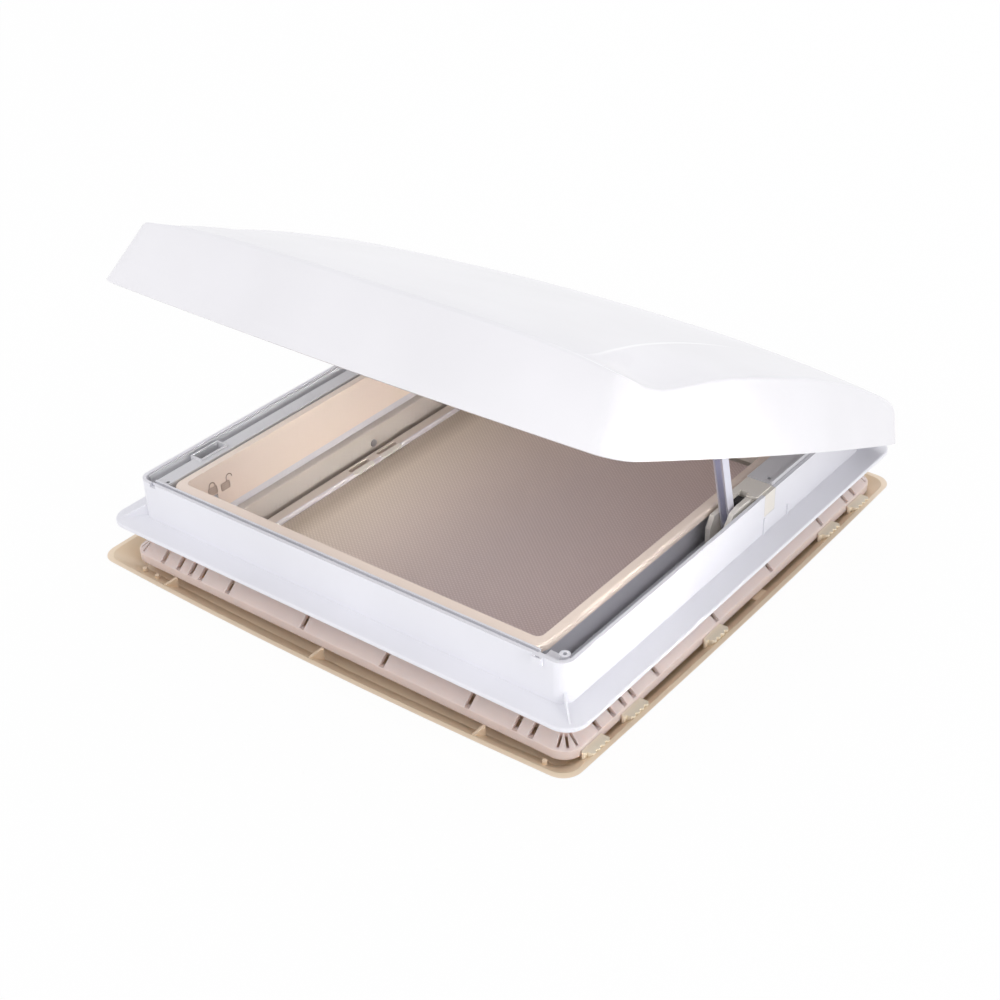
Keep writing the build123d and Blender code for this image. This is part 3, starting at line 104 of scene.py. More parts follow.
camera = stand("camera", bpy.data.cameras.new("camera"))
camera.data.sensor_width = sensor_width
camera.data.lens = sensor_width * lens_pixels / photo_pixels
camera.data.clip_end = far_limit
camera.matrix_world = Matrix((
    (camera_x.x, camera_y.x, towards.x, camera_place.x),
    (camera_x.y, camera_y.y, towards.y, camera_place.y),
    (camera_x.z, camera_y.z, towards.z, camera_place.z),
    (0, 0, 0, 1),
))
bpy.context.scene.camera = camera
bpy.context.scene.view_settings.view_transform = "Standard"


def shader(name):
    """A new material, with its node tree and its main shader."""
    material = bpy.data.materials.new(name)
    material.use_nodes = True
    tree = material.node_tree
    return material, tree, tree.nodes["Principled BSDF"]


def worked_out(tree, operation, *values):
    """Result of one sum in a material, from sockets and plain numbers."""
    sum_node = tree.nodes.new("ShaderNodeMath")
    sum_node.operation = operation
    for slot, value in zip(sum_node.inputs, values):
        if isinstance(value, (int, float)):
            slot.default_value = value
        else:
            tree.links.new(value, slot)
    return sum_node.outputs[0]


def mixed_light(tree, share, first, second, output):
    """Sends a mix of two shaders to the output of a material or of the world."""
    mix = tree.nodes.new("ShaderNodeMixShader")
    tree.links.new(share, mix.inputs["Fac"])
    tree.links.new(first.outputs[0], mix.inputs[1])
    tree.links.new(second.outputs[0], mix.inputs[2])
    tree.links.new(mix.outputs[0], tree.nodes[output].inputs[0])


floor_gap = 0.0005
floor_level = cad_box[0][2] - floor_gap
floor_reach = 6.0
floor_colour = (0.86, 0.86, 0.86, 1)
floor_roughness = 0.9
plain_white = (1, 1, 1, 1)
# The paper keeps a little of its own shading, so that the vent casts its shadow on it
paper_white_share = 0.97
floor_mesh = bpy.data.meshes.new("studio_floor")
floor_mesh.from_pydata(
    [(x * floor_reach, y * floor_reach, floor_level)
     for x, y in ((-1, -1), (1, -1), (1, 1), (-1, 1))],
    [], [(0, 1, 2, 3)],
)
floor = stand("studio_floor", floor_mesh)
floor_paper, floor_tree, floor_shader = shader("studio_paper")
floor_shader.inputs["Base Color"].default_value = floor_colour
floor_shader.inputs["Roughness"].default_value = floor_roughness
rays = floor_tree.nodes.new("ShaderNodeLightPath").outputs
white = floor_tree.nodes.new("ShaderNodeEmission")
white.inputs["Strength"].default_value = 1.0
white.inputs["Color"].default_value = plain_white
seen = worked_out(floor_tree, "MAXIMUM", rays["Is Camera Ray"], rays["Is Transmission Ray"])
seen = worked_out(floor_tree, "MAXIMUM", seen, rays["Is Glossy Ray"])
seen = worked_out(floor_tree, "MULTIPLY", seen, paper_white_share)
mixed_light(floor_tree, seen, floor_shader, white, "Material Output")
floor_mesh.materials.append(floor_paper)

room_colour = (0.97, 0.97, 1.0, 1)
room_strength = 0.83
world = bpy.data.worlds.new("studio")
bpy.context.scene.world = world
world.use_nodes = True
sky_tree = world.node_tree
room_light = sky_tree.nodes["Background"]
room_light.inputs["Color"].default_value = room_colour
room_light.inputs["Strength"].default_value = room_strength
backdrop = sky_tree.nodes.new("ShaderNodeBackground")
backdrop.inputs["Color"].default_value = plain_white
backdrop.inputs["Strength"].default_value = 1.0
rays = sky_tree.nodes.new("ShaderNodeLightPath").outputs
seen = worked_out(sky_tree, "MAXIMUM", rays["Is Camera Ray"], rays["Is Transmission Ray"])
mixed_light(sky_tree, seen, room_light, backdrop, "World Output")

# Place, aim, size, power, spread in degrees and colour of each soft box. The narrow one fills the
# duct with light, and leaves no streak on its rim.
centre = (0.0, 0.0, 0.0)
duct_corner = (-0.17, -0.02, 0.004)
for name, place, aim, size, power, spread, tint in (
    ("key_box", (-0.9, -1.3, 1.9), centre, 1.4, 4.0, 180, (1.0, 0.985, 0.97)),
    ("front_box", (-0.55, -1.60, 0.62), centre, 0.9, 3.6, 180, (1.0, 0.99, 0.98)),
    ("side_box", (1.70, -0.30, 0.34), centre, 0.8, 6.5, 180, (1.0, 0.99, 0.99)),
    ("back_box", (-0.3, 1.8, 1.5), centre, 1.4, 8.5, 180, (1.0, 1.0, 1.0)),
    ("duct_box", (1.35, -0.46, 0.38), duct_corner, 0.12, 0.066, 14, (1.0, 0.98, 0.95)),
):
    lamp = bpy.data.lights.new(name, "AREA")
    lamp.size = size
    lamp.energy = power
    lamp.color = tint
    lamp.spread = math.radians(spread)
    box = stand(name, lamp)
    box.location = place
    box.visible_glossy = name != "duct_box"
    box.rotation_mode = "QUATERNION"
    box.rotation_quaternion = (Vector(aim) - Vector(place)).to_track_quat("-Z", "Y")

# Outer frame. White gloss ABS, injection moulded in one piece: roof flange, upright collar,
# neck and hinge ears. The corner block for a screw is part of it. It carries everything else.
plastic_specular = 0.45
milky_reach = (0.010, 0.008, 0.007)
flow_scale = 9.0
flow_detail = 2.0
flow_ends = (0.3, 0.7)
flow_fade = 0.05
grain_size = 0.0006
grain_detail = 1.0
grain_height = 0.001


def cloudy(tree, place, scale, detail=2.0):
    """Cloudy pattern in a material, at a scale per metre."""
    clouds = tree.nodes.new("ShaderNodeTexNoise")
    clouds.inputs["Scale"].default_value = scale
    clouds.inputs["Detail"].default_value = detail
    tree.links.new(place, clouds.inputs["Vector"])
    return clouds.outputs["Fac"]


def raise_grain(tree, pattern, strength, height):
    """Raises the surface of a material where its pattern is bright."""
    bump = tree.nodes.new("ShaderNodeBump")
    bump.inputs["Strength"].default_value = strength
    bump.inputs["Distance"].default_value = height
    tree.links.new(pattern, bump.inputs["Height"])
    tree.links.new(bump.outputs["Normal"], tree.nodes["Principled BSDF"].inputs["Normal"])


def moulded_plastic(name, colour, roughness=0.35, depth=0.02, milky=0.0):
    """Moulded plastic: even colour with a faint flow mark and a fine bump in its surface."""
    material, tree, main = shader(name)
    main.inputs["Roughness"].default_value = roughness
    main.inputs["Specular IOR Level"].default_value = plastic_specular
    main.inputs["Subsurface Weight"].default_value = milky
    main.inputs["Subsurface Radius"].default_value = milky_reach
    main.inputs["Subsurface Scale"].default_value = 1.0
    place = tree.nodes.new("ShaderNodeTexCoord").outputs["Object"]
    ramp = tree.nodes.new("ShaderNodeValToRGB")
    for stop, position, flow_mark_and_painted_light in zip(ramp.color_ramp.elements, flow_ends, (1 - flow_fade, 1)):
        stop.position = position
        stop.color = (*(c * flow_mark_and_painted_light for c in colour), 1)
    tree.links.new(cloudy(tree, place, flow_scale, flow_detail), ramp.inputs["Fac"])
    tree.links.new(ramp.outputs["Color"], main.inputs["Base Color"])
    raise_grain(tree, cloudy(tree, place, 1 / grain_size, grain_detail), depth, grain_height)
    return material


def finish_node(name, material):
    """Gives a piece of the CAD its finish."""
    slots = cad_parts[name].data.materials
    slots.clear()
    slots.append(material)


white_abs = moulded_plastic("white_abs", (0.86, 0.86, 0.90), roughness=0.3)
finish_node("outer_frame", white_abs)
finish_node("corner_block", white_abs)

# Roof seal. A flat strip of black closed-cell rubber, glued under the flange, where the screws
# of the clamp ring press it on the roof.
seal_rubber = moulded_plastic("seal_rubber", (0.10, 0.10, 0.105), roughness=0.75, depth=0.08)
finish_node("roof_seal", seal_rubber)

# Inner duct. Beige gloss ABS, thermoformed with a rolled rim; it drops into the collar. Below the
# screens a cool lilac light is painted on it, and its outside is as pale as the collar.
duct_rim = 0.008
duct_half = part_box("inner_duct")[1][0] - duct_rim
duct_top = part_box("inner_duct")[1][2]
duct_wall = 0.0022
# How far the wall leans in, for each unit down
duct_lean = 3.7 / 45
duct_foot = -0.003
duct_rim_foot = 0.030


def mixed_colour(tree, share, first, second, way="MIX"):
    """Mixes two colours of a material, each a socket or a plain colour, by a share of either."""
    mix = tree.nodes.new("ShaderNodeMix")
    mix.data_type = "RGBA"
    mix.blend_type = way
    for slot, value in (("Factor", share), ("A", first), ("B", second)):
        if isinstance(value, (float, tuple)):
            mix.inputs[slot].default_value = value
        else:
            tree.links.new(value, mix.inputs[slot])
    return mix.outputs["Result"]


def tint_zone(material, colour, limits, lean=0.0):
    """Mixes another colour into one zone of a piece, for its own colour there and for painted
    light; each limit is an axis, a test and a distance.

    Along X the distance is from the middle, to a wall that leans with its height.
    """
    tree = material.node_tree
    surface = tree.nodes["Principled BSDF"].inputs["Base Color"]
    under = surface.links[0].from_socket
    place = tree.nodes.new("ShaderNodeTexCoord")
    split = tree.nodes.new("ShaderNodeSeparateXYZ")
    tree.links.new(place.outputs["Object"], split.inputs[0])
    share = None
    for axis, test, limit in limits:
        distance = split.outputs[axis]
        if axis == "X":
            out = worked_out(tree, "ABSOLUTE", distance)
            distance = worked_out(tree, "MULTIPLY_ADD", split.outputs["Z"], -lean, out)
        inside = worked_out(tree, test, distance, limit)
        share = worked_out(tree, "MULTIPLY", share, inside) if share else inside
    tree.links.new(mixed_colour(tree, share, under, (*colour, 1)), surface)


beige_abs = moulded_plastic("beige_abs", (0.98, 0.84, 0.73), roughness=0.28)
# Painted lilac light on the duct below the screens.
tint_zone(beige_abs, (0.80, 0.77, 0.79), [("Z", "LESS_THAN", duct_foot)])
tint_zone(beige_abs, (0.86, 0.86, 0.90), [
    ("X", "GREATER_THAN", duct_half + duct_wall / 2 - duct_lean * duct_top),
    ("Z", "LESS_THAN", duct_rim_foot),
], duct_lean)
finish_node("inner_duct", beige_abs)


def build_piece(name, mesh, material, body, smooth=True):
    """Makes an object of a bmesh, gives it its finish and hangs it on a body."""
    data = bpy.data.meshes.new(name)
    mesh.to_mesh(data)
    mesh.free()
    piece = stand(name, data)
    data.materials.append(material)
    for face in data.polygons:
        face.use_smooth = smooth
    if body:
        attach(piece, body)
    return piece


# Lock signs. Two plain padlocks, closed and open, printed in brown lines on the duct's left wall
# where the lid lock slides.
sign_ink = moulded_plastic("sign_ink", (0.30, 0.19, 0.13), roughness=0.5)
sign_line = 0.0004
sign_lift = 0.0002
sign_half = 0.0045
sign_body = 0.0055
shackle_radius = 0.0032
shackle_leg = 0.0016
shackle_steps = 10
# Middle of each sign along the wall, top of its body, and how far its shackle is aside and up
lock_signs = ((-0.1700, 0.0190, 0.0, 0.0), (-0.1560, 0.0172, 0.0052, 0.0012))
sign_mesh = bmesh.new()


def wall_line(points):
    """Draws one even line on the left wall of the duct through points along it and up it."""
    for (y0, z0), (y1, z1) in zip(points, points[1:]):
        run = math.hypot(y1 - y0, z1 - z0)
        ey, ez = (y1 - y0) / run * sign_line, (z1 - z0) / run * sign_line
        sign_mesh.faces.new([
            sign_mesh.verts.new((sign_lift - duct_half + duct_lean * (duct_top - z), y, z))
            for y, z in (
                (y0 - ey - ez, z0 - ez + ey), (y0 - ey + ez, z0 - ez - ey),
                (y1 + ey + ez, z1 + ez - ey), (y1 + ey - ez, z1 + ez + ey),
            )
        ])


for middle, top, shift, lift in lock_signs:
    low = top - sign_body
    left, right = middle - sign_half, middle + sign_half
    wall_line([(left, low), (right, low), (right, top), (left, top), (left, low)])
    wall_line([(left, top - sign_body / 3), (right, top - sign_body / 3)])
    wall_line([(left, low + sign_body / 3), (right, low + sign_body / 3)])
    foot = top + lift + shackle_leg
    shackle = [(middle + shift - shackle_radius, top)] + [
        (
            middle + shift - shackle_radius * math.cos(math.pi * k / shackle_steps),
            foot + shackle_radius * math.sin(math.pi * k / shackle_steps),
        )
        for k in range(shackle_steps + 1)
    ]
    wall_line(shackle if shift else shackle + [(middle + shackle_radius, top)])
build_piece("lock_signs", sign_mesh, sign_ink, "frame", smooth=False)

# Gutter rails. Light grey ABS strips that close the gutter between collar and duct on the left,
# the right and the rear. The front strip is white like the frame.
grey_abs = moulded_plastic("grey_abs", (0.76, 0.76, 0.78), roughness=0.4)
for name in ("left_rail", "right_rail", "rear_gutter"):
    finish_node(name, grey_abs)
finish_node("front_gutter", white_abs)

# Stay bracket. Cream nylon, moulded with two cheeks for a steel pin and pressed in the right
# rail, with a black nylon button that lets the stay go.
cream_nylon = moulded_plastic("cream_nylon", (0.86, 0.82, 0.75), roughness=0.5)
finish_node("stay_bracket", cream_nylon)
black_nylon = moulded_plastic("black_nylon", (0.015, 0.015, 0.017), roughness=0.45)
finish_node("release_button", black_nylon)

# Pins and screws. Zinc-plated steel: the pins of the stay and of the hinges, and the screws that
# hold the clamp ring and the housings of the screens.
line_scale = 900
line_roughness = 0.15


def drawn_metal(name, colour, roughness, along):
    """Drawn or plated metal with fine lines along one direction."""
    material, tree, main = shader(name)
    main.inputs["Metallic"].default_value = 1.0
    main.inputs["Base Color"].default_value = (*colour, 1)
    place = tree.nodes.new("ShaderNodeTexCoord")
    stretch = tree.nodes.new("ShaderNodeMapping")
    stretch.inputs["Scale"].default_value = along
    tree.links.new(place.outputs["Object"], stretch.inputs["Vector"])
    lines = cloudy(tree, stretch.outputs["Vector"], line_scale)
    spread = tree.nodes.new("ShaderNodeMapRange")
    spread.inputs["To Min"].default_value = roughness
    spread.inputs["To Max"].default_value = roughness + line_roughness
    tree.links.new(lines, spread.inputs["Value"])
    tree.links.new(spread.outputs["Result"], main.inputs["Roughness"])
    return material


pin_steel = drawn_metal("pin_steel", (0.56, 0.56, 0.58), 0.3, (1, 1, 1))
for name in ("stay_pin", "hinge_pins", "clamp_screws", "housing_screws"):
    finish_node(name, pin_steel)

# Stay. A drawn aluminium channel that turns on the pin of its bracket, with a black nylon stud
# near its top that slides in the track under the lid.
stay_lines = (1, 1, 0.03)
stay_aluminium = drawn_metal("stay_aluminium", (0.88, 0.88, 0.97), 0.42, stay_lines)
finish_node("stay", stay_aluminium)
finish_node("stay_stud", black_nylon)

# Screens. Cream ABS housings and tracks, spring rollers, and a pull bar that leads each cloth.
# The housings are screwed to the duct, and the bars slide in the tracks.
cream_abs = moulded_plastic("cream_abs", (0.74, 0.68, 0.62), roughness=0.35)
for name in (
    "net_housing", "blind_housing", "net_roller", "blind_roller",
    "front_track", "rear_track", "blind_bar",
):
    finish_node(name, cream_abs)
bar_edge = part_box("net_bar")[1][0]
bar_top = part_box("net_bar")[1][2]
bar_highlight_width = 0.0012
bar_abs = moulded_plastic("bar_abs", (0.86, 0.76, 0.68), roughness=0.3)
# A painted lilac highlight along the edge of the pull bar beside the net.
tint_zone(bar_abs, (0.88, 0.84, 0.86), [("X", "LESS_THAN", -bar_edge + bar_highlight_width)])
finish_node("net_bar", bar_abs)

# Finger lips. Two pale ABS lips on the edge of the net's pull bar, one at each finger slot,
# moulded with the bar.
lip_abs = moulded_plastic("lip_abs", (1.0, 0.96, 0.88), roughness=0.35)
lip_root = 0.002
lip_lift = 0.0002
lip_reach = 0.0034
lip_thickness = 0.0012
lip_half = 0.013
lip_spacing = 0.037
lip_round = 0.0026
lip_mesh = bmesh.new()


def wall_between(mesh, first, second):
    """Closes the wall between two rings of as many points."""
    for k in range(len(first)):
        after = (k + 1) % len(first)
        mesh.faces.new((first[k], first[after], second[after], second[k]))


for middle in (-lip_spacing / 2, lip_spacing / 2):
    outline = (
        (bar_edge - lip_root, middle - lip_half),
        (bar_edge + lip_reach - lip_round, middle - lip_half),
        (bar_edge + lip_reach, middle - lip_half + lip_round),
        (bar_edge + lip_reach, middle + lip_half - lip_round),
        (bar_edge + lip_reach - lip_round, middle + lip_half),
        (bar_edge - lip_root, middle + lip_half),
    )
    upper, lower = [
        [lip_mesh.verts.new((x, y, bar_top + lip_lift - drop)) for x, y in outline]
        for drop in (0.0, lip_thickness)
    ]
    lip_mesh.faces.new(upper)
    lip_mesh.faces.new(reversed(lower))
    wall_between(lip_mesh, lower, upper)
bmesh.ops.recalc_face_normals(lip_mesh, faces=lip_mesh.faces)
build_piece("finger_lips", lip_mesh, lip_abs, "net_pull", smooth=False)

# Fly net. A fine taupe polyester mesh, stretched from its roller to the pull bar; it winds up as
# the bar is pushed back.
roller_place = 0.182
net_reach = (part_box("fly_net")[0][0], roller_place)
net_level = (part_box("fly_net")[0][2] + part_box("fly_net")[1][2]) / 2
net_sag = 0.0004
cloth_half_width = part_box("fly_net")[1][1]
cloth_steps = 48


def stretched_cloth(name, reach, level, material, sag, body):
    """A flat cloth between two places across the opening, with a slight sag in its middle."""
    cloth = bmesh.new()
    rows = []
    for i in range(cloth_steps + 1):
        x = reach[0] + (reach[1] - reach[0]) * i / cloth_steps
        row = []
        for j in range(cloth_steps + 1):
            y = cloth_half_width * (2 * j / cloth_steps - 1)
            dip = sag * math.sin(math.pi * i / cloth_steps) * math.sin(math.pi * j / cloth_steps)
            row.append(cloth.verts.new((x, y, level - dip)))
        rows.append(row)
    for low, high in zip(rows, rows[1:]):
        for j in range(cloth_steps):
            cloth.faces.new((low[j], high[j], high[j + 1], low[j + 1]))
    return build_piece(name, cloth, material, body)


thread_turns = (38, -52)
wave_period = 0.314
wave_wander = 0.4
wave_detail = 1.0
cloth_fuzz = 0.25
fuzz_roughness = 0.4
weave_strength = 0.3
weave_height = 0.0003


def woven_cloth(name, warp, weft, pitch, roughness, flow_mark_and_painted_light=None):
    """Plain weave seen close to: two threads that cross on the diagonal, with fuzz between."""
    material, tree, main = shader(name)
    main.inputs["Roughness"].default_value = roughness
    main.inputs["Sheen Weight"].default_value = cloth_fuzz
    main.inputs["Sheen Roughness"].default_value = fuzz_roughness
    place = tree.nodes.new("ShaderNodeTexCoord")
    waves = []
    for turn in thread_turns:
        lay = tree.nodes.new("ShaderNodeMapping")
        lay.inputs["Rotation"].default_value = (0, 0, math.radians(turn))
        tree.links.new(place.outputs["Object"], lay.inputs["Vector"])
        wave = tree.nodes.new("ShaderNodeTexWave")
        wave.inputs["Scale"].default_value = wave_period / pitch
        wave.inputs["Distortion"].default_value = wave_wander
        wave.inputs["Detail"].default_value = wave_detail
        tree.links.new(lay.outputs["Vector"], wave.inputs["Vector"])
        waves.append(wave.outputs["Fac"])
    cross = worked_out(tree, "MULTIPLY", *waves)
    threads = mixed_colour(tree, cross, (*weft, 1), (*warp, 1))
    # Light and shade painted along X onto the threads, from a table of places and colours.
    if flow_mark_and_painted_light:
        split = tree.nodes.new("ShaderNodeSeparateXYZ")
        tree.links.new(place.outputs["Object"], split.inputs[0])
        span = tree.nodes.new("ShaderNodeMapRange")
        start, end = flow_mark_and_painted_light[0][0], flow_mark_and_painted_light[-1][0]
        span.inputs["From Min"].default_value = start
        span.inputs["From Max"].default_value = end
        tree.links.new(split.outputs["X"], span.inputs["Value"])
        painted_light_ramp = tree.nodes.new("ShaderNodeValToRGB")
        stops = painted_light_ramp.color_ramp.elements
        while len(stops) < len(flow_mark_and_painted_light):
            stops.new(0.5)
        for stop, (x, _) in zip(stops, flow_mark_and_painted_light):
            stop.position = (x - start) / (end - start)
        for stop, (_, colour) in zip(stops, flow_mark_and_painted_light):
            stop.color = (*colour, 1)
        tree.links.new(span.outputs["Result"], painted_light_ramp.inputs["Fac"])
        threads = mixed_colour(tree, 1.0, threads, painted_light_ramp.outputs["Color"], "MULTIPLY")
    tree.links.new(threads, main.inputs["Base Color"])
    raise_grain(tree, cross, weave_strength, weave_height)
    return material


# Places across the net, and the light and shade painted on its threads there: a painted shadow at
# the pull bar, a painted pool of light beside it, and painted shade growing towards the roller
net_painted_light = (
    (-0.150, (0.66, 0.64, 0.56)), (-0.138, (0.72, 0.70, 0.60)), (-0.122, (1.0, 1.0, 0.90)),
    (-0.060, (1.0, 0.98, 0.94)), (0.020, (0.93, 0.91, 0.93)), (0.175, (0.90, 0.86, 0.90)),
)
net_weave = woven_cloth(
    "net_weave", warp=(1.0, 0.89, 0.84), weft=(0.80, 0.68, 0.63), pitch=0.0026, roughness=0.45,
    flow_mark_and_painted_light=net_painted_light,
)
net_sheet = stretched_cloth("net_sheet", net_reach, net_level, net_weave, net_sag, "frame")
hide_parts("fly_net")
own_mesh(net_sheet)

# Blind. A coated grey cloth on the other side of the opening, wound up on its roller but for a
# strip that reaches its pull bar.
blind_reach = (-roller_place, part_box("blind_cloth")[1][0])
blind_level = (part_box("blind_cloth")[0][2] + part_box("blind_cloth")[1][2]) / 2
blind_weave = woven_cloth(
    "blind_weave", warp=(0.62, 0.60, 0.56), weft=(0.56, 0.54, 0.50), pitch=0.0006, roughness=0.6,
)
blind_sheet = stretched_cloth("blind_sheet", blind_reach, blind_level, blind_weave, 0.0, None)
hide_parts("blind_cloth")
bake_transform(blind_sheet)

# Clamp ring. Rose-beige ABS, injection moulded with rows of slots, and screwed to the posts of
# the frame from inside the caravan.
rose_abs = moulded_plastic("rose_abs", (0.90, 0.71, 0.66), roughness=0.35, milky=0.6)
finish_node("clamp_ring", rose_abs)

# Ceiling trim and its clips. The trim is tan ABS with ribs and pegs; its cream nylon clips snap
# on the clamp ring.
tan_abs = moulded_plastic("tan_abs", (0.95, 0.76, 0.56), roughness=0.35, milky=0.2)
finish_node("ceiling_trim", tan_abs)
clip_nylon = moulded_plastic("clip_nylon", (0.96, 0.87, 0.70), roughness=0.45)
finish_node("trim_clips", clip_nylon)

# Lid. One white gloss ABS moulding, hung on two hinge arms: a low dome with a soft crease and a
# scoop along each side, and a skirt all round. Sizes are in millimetres over its own rim.
lid_open = math.radians(24.25)
hinge_line = (0.220, 0.008)
rim_behind_hinge = 5.97
rim_above_hinge = 5.86
lid_half_width = 246.0
lid_side_bow = 8.0
lid_front_corner = 467.0
lid_front_bow = 11.0
skirt_top = 66.0
side_draft = 23.5
front_draft = 26.0
rear_draft = 3.0
rim_corner = 22.0
front_crest_corner = 8.0
rear_crest_corner = 13.0
front_crest_round = 2.6
rear_crest_round = 9.0
rear_round_ends = (14.0, 70.0)
skin_thickness = 2.4
# Distance from the rear edge, and height of the crown there: on the centre line, and 229 mm out
crown_ridge = (
    (-20, 20), (0, 34.5), (12, 42), (40, 50), (70, 54), (110, 57.5), (180, 61), (255, 62.5),
    (330, 62.5), (409, 61.3), (450, 59.2), (490, 56.5),
)
crown_flank = (
    (-20, 13), (0, 26), (12, 32), (51, 39.5), (111, 47), (174, 52.6), (255, 55.6), (328, 56),
    (409, 53), (450, 50.5), (490, 48.0),
)
flank_place = 229.0
dome_power = (2.2, 3.0)
# Distance from the rear edge, and depth of the scoop there or half-width of its crease
scoop_depth = (
    (150, 0), (190, 0.2), (225, 1.2), (255, 2), (309, 3.6), (351, 6), (380, 8.2), (409, 9.5),
    (428, 7.4), (441, 3.6), (452, 0.6), (470, 0), (490, 0),
)
scoop_crease = (
    (-20, 176), (100, 170), (190, 164), (225, 163), (261, 164), (309, 169), (351, 175),
    (395, 184), (425, 190), (448, 189), (490, 189),
)
crease_softness = 2.0
crease_margin = 12.0
# Distance from the rear edge, and how strongly a highlight is painted on the crease there
crease_highlight = ((170, 0), (200, 0.4), (250, 0.9), (300, 1), (395, 1), (425, 0.5), (446, 0))
crown_columns = 15
scoop_columns = 9
crown_rows = 64
corner_steps = 8
skirt_steps = 6
crest_steps = 5
crest_start = 50.0
crest_rounds = 12
least_step = 1e-6
bezier_arc_share = 0.5523
skin_lip = 0.7
skin_lip_angle = 50


def smooth_law(knots, at):
    """Value of a smooth curve through the knots, at one place along it."""
    last = len(knots) - 2
    k = 0
    while k < last and at > knots[k + 1][0]:
        k += 1
    (x0, y0), (x1, y1) = knots[k], knots[k + 1]
    before = knots[k - 1] if k else knots[k]
    after = knots[k + 2] if k < last else knots[k + 1]
    slope0 = (y1 - before[1]) / max(x1 - before[0], least_step)
    slope1 = (after[1] - y0) / max(after[0] - x0, least_step)
    width = x1 - x0
    t = min(max((at - x0) / width, 0.0), 1.0)
    return (
        (2 * t ** 3 - 3 * t ** 2 + 1) * y0 + (t ** 3 - 2 * t ** 2 + t) * width * slope0
        + (3 * t ** 2 - 2 * t ** 3) * y1 + (t ** 3 - t ** 2) * width * slope1
    )


def crown_height(x, along):
    """Height of the lid's outside over its rim."""
    ridge, flank = smooth_law(crown_ridge, along), smooth_law(crown_flank, along)
    share = min(max(along / lid_front_corner, 0.0), 1.0)
    power = dome_power[0] + (dome_power[1] - dome_power[0]) * share
    height = ridge - (ridge - flank) * (abs(x) / flank_place) ** power
    crease = smooth_law(scoop_crease, along)
    t = (abs(x) - crease) / (flank_place - crease)
    if t > 0:
        height -= smooth_law(scoop_depth, along) * (1 - (1 - min(t, 1.0)) ** 2)
    return height


def lid_place(x, along, height):
    """Point of the open lid in metres: across, from the rear edge, and over the rim."""
    back, up = rim_behind_hinge - along, rim_above_hinge + height
    return Vector((
        x / 1000,
        hinge_line[0] + (back * math.cos(lid_open) + up * math.sin(lid_open)) / 1000,
        hinge_line[1] + (up * math.cos(lid_open) - back * math.sin(lid_open)) / 1000,
    ))


def skirt_edge(side, place, height):
    """Point of the skirt on its left, right, front or rear side, at a height over the rim."""
    share = height / skirt_top
    if side in ("left", "right"):
        bow = lid_side_bow * (1 - (2 * place / lid_front_corner - 1) ** 2)
        x = lid_half_width + bow - side_draft * share
        return (x if side == "right" else -x), place
    if side == "front":
        bow = lid_front_bow * (1 - (place / lid_half_width) ** 2)
        return place, lid_front_corner + bow - front_draft * share
    return place, rear_draft * share


def skirt_place(key, height):
    """Point of the skirt for one column of its mesh: a place on a side or on a corner."""
    share = height / skirt_top
    ends = {}
    for end, edge, crest in (
        ("front", lid_front_corner - front_draft * share, front_crest_corner),
        ("rear", rear_draft * share, rear_crest_corner),
    ):
        ends[end] = (edge, rim_corner + (crest - rim_corner) * min(share, 1.0))
    low, high = sum(ends["rear"]), ends["front"][0] - ends["front"][1]
    if key[0] in ("left", "right"):
        return skirt_edge(key[0], low + (high - low) * key[1], height)
    if key[0] in ("front", "rear"):
        corner_x = abs(skirt_edge("right", ends[key[0]][0], height)[0])
        return skirt_edge(key[0], key[1] * (corner_x - ends[key[0]][1]), height)
    _, end, side, t = key
    middle, radius = ends[end]
    sign = 1 if side == "right" else -1
    corner = (skirt_edge(side, middle, height)[0], middle)
    start = skirt_edge(side, high if end == "front" else low, height)
    finish = skirt_edge(end, sign * (abs(corner[0]) - radius), height)
    handles = [
        tuple(p[i] + bezier_arc_share * (corner[i] - p[i]) for i in (0, 1))
        for p in (start, finish)
    ]
    w = ((1 - t) ** 3, 3 * t * (1 - t) ** 2, 3 * t * t * (1 - t), t ** 3)
    return tuple(
        w[0] * start[i] + w[1] * handles[0][i] + w[2] * handles[1][i] + w[3] * finish[i]
        for i in (0, 1)
    )


def crest_place(key):
    """Where the skirt would meet the crown at a sharp edge."""
    height = crest_start
    for _ in range(crest_rounds):
        x, along = skirt_place(key, height)
        height = crown_height(x, along)
    return x, along, height


def columns_at(along, half):
    """Places across the crown, with a column on each crease and one close to either side."""
    crease = min(smooth_law(scoop_crease, along), half - crease_margin)
    inner, outer = crease - crease_softness, crease + crease_softness
    right = [inner * k / crown_columns for k in range(1, crown_columns + 1)]
    right += [crease, outer]
    right += [outer + (half - outer) * k / scoop_columns for k in range(1, scoop_columns + 1)]
    return [-x for x in reversed(right)] + [0.0] + right


# The four inner corners of the crest, and the rows and columns between them
rear_corner_x, rear_corner_along, _ = crest_place(("right", 0.0))
front_corner_x, front_corner_along, _ = crest_place(("right", 1.0))
rear_half = rear_corner_x - rear_crest_corner
front_half = front_corner_x - front_crest_corner
front_columns = columns_at(front_corner_along, front_half)
rear_columns = columns_at(rear_corner_along, rear_half)
half_columns = len(front_columns) // 2
row_shares = [k / crown_rows for k in range(crown_rows + 1)]

# One key for each column of the skirt: its side or corner, and the place on it
turns = [k / corner_steps for k in range(1, corner_steps)]
front_keys = [("front", x / front_half) for x in front_columns]
rear_keys = [("rear", x / rear_half) for x in rear_columns]
skirt_keys = front_keys[:]
skirt_keys += [("corner", "front", "right", 1 - turn) for turn in turns]
skirt_keys += [("right", share) for share in reversed(row_shares)]
skirt_keys += [("corner", "rear", "right", turn) for turn in turns]
skirt_keys += reversed(rear_keys)
skirt_keys += [("corner", "rear", "left", 1 - turn) for turn in turns]
skirt_keys += [("left", share) for share in row_shares]
skirt_keys += [("corner", "front", "left", turn) for turn in turns]

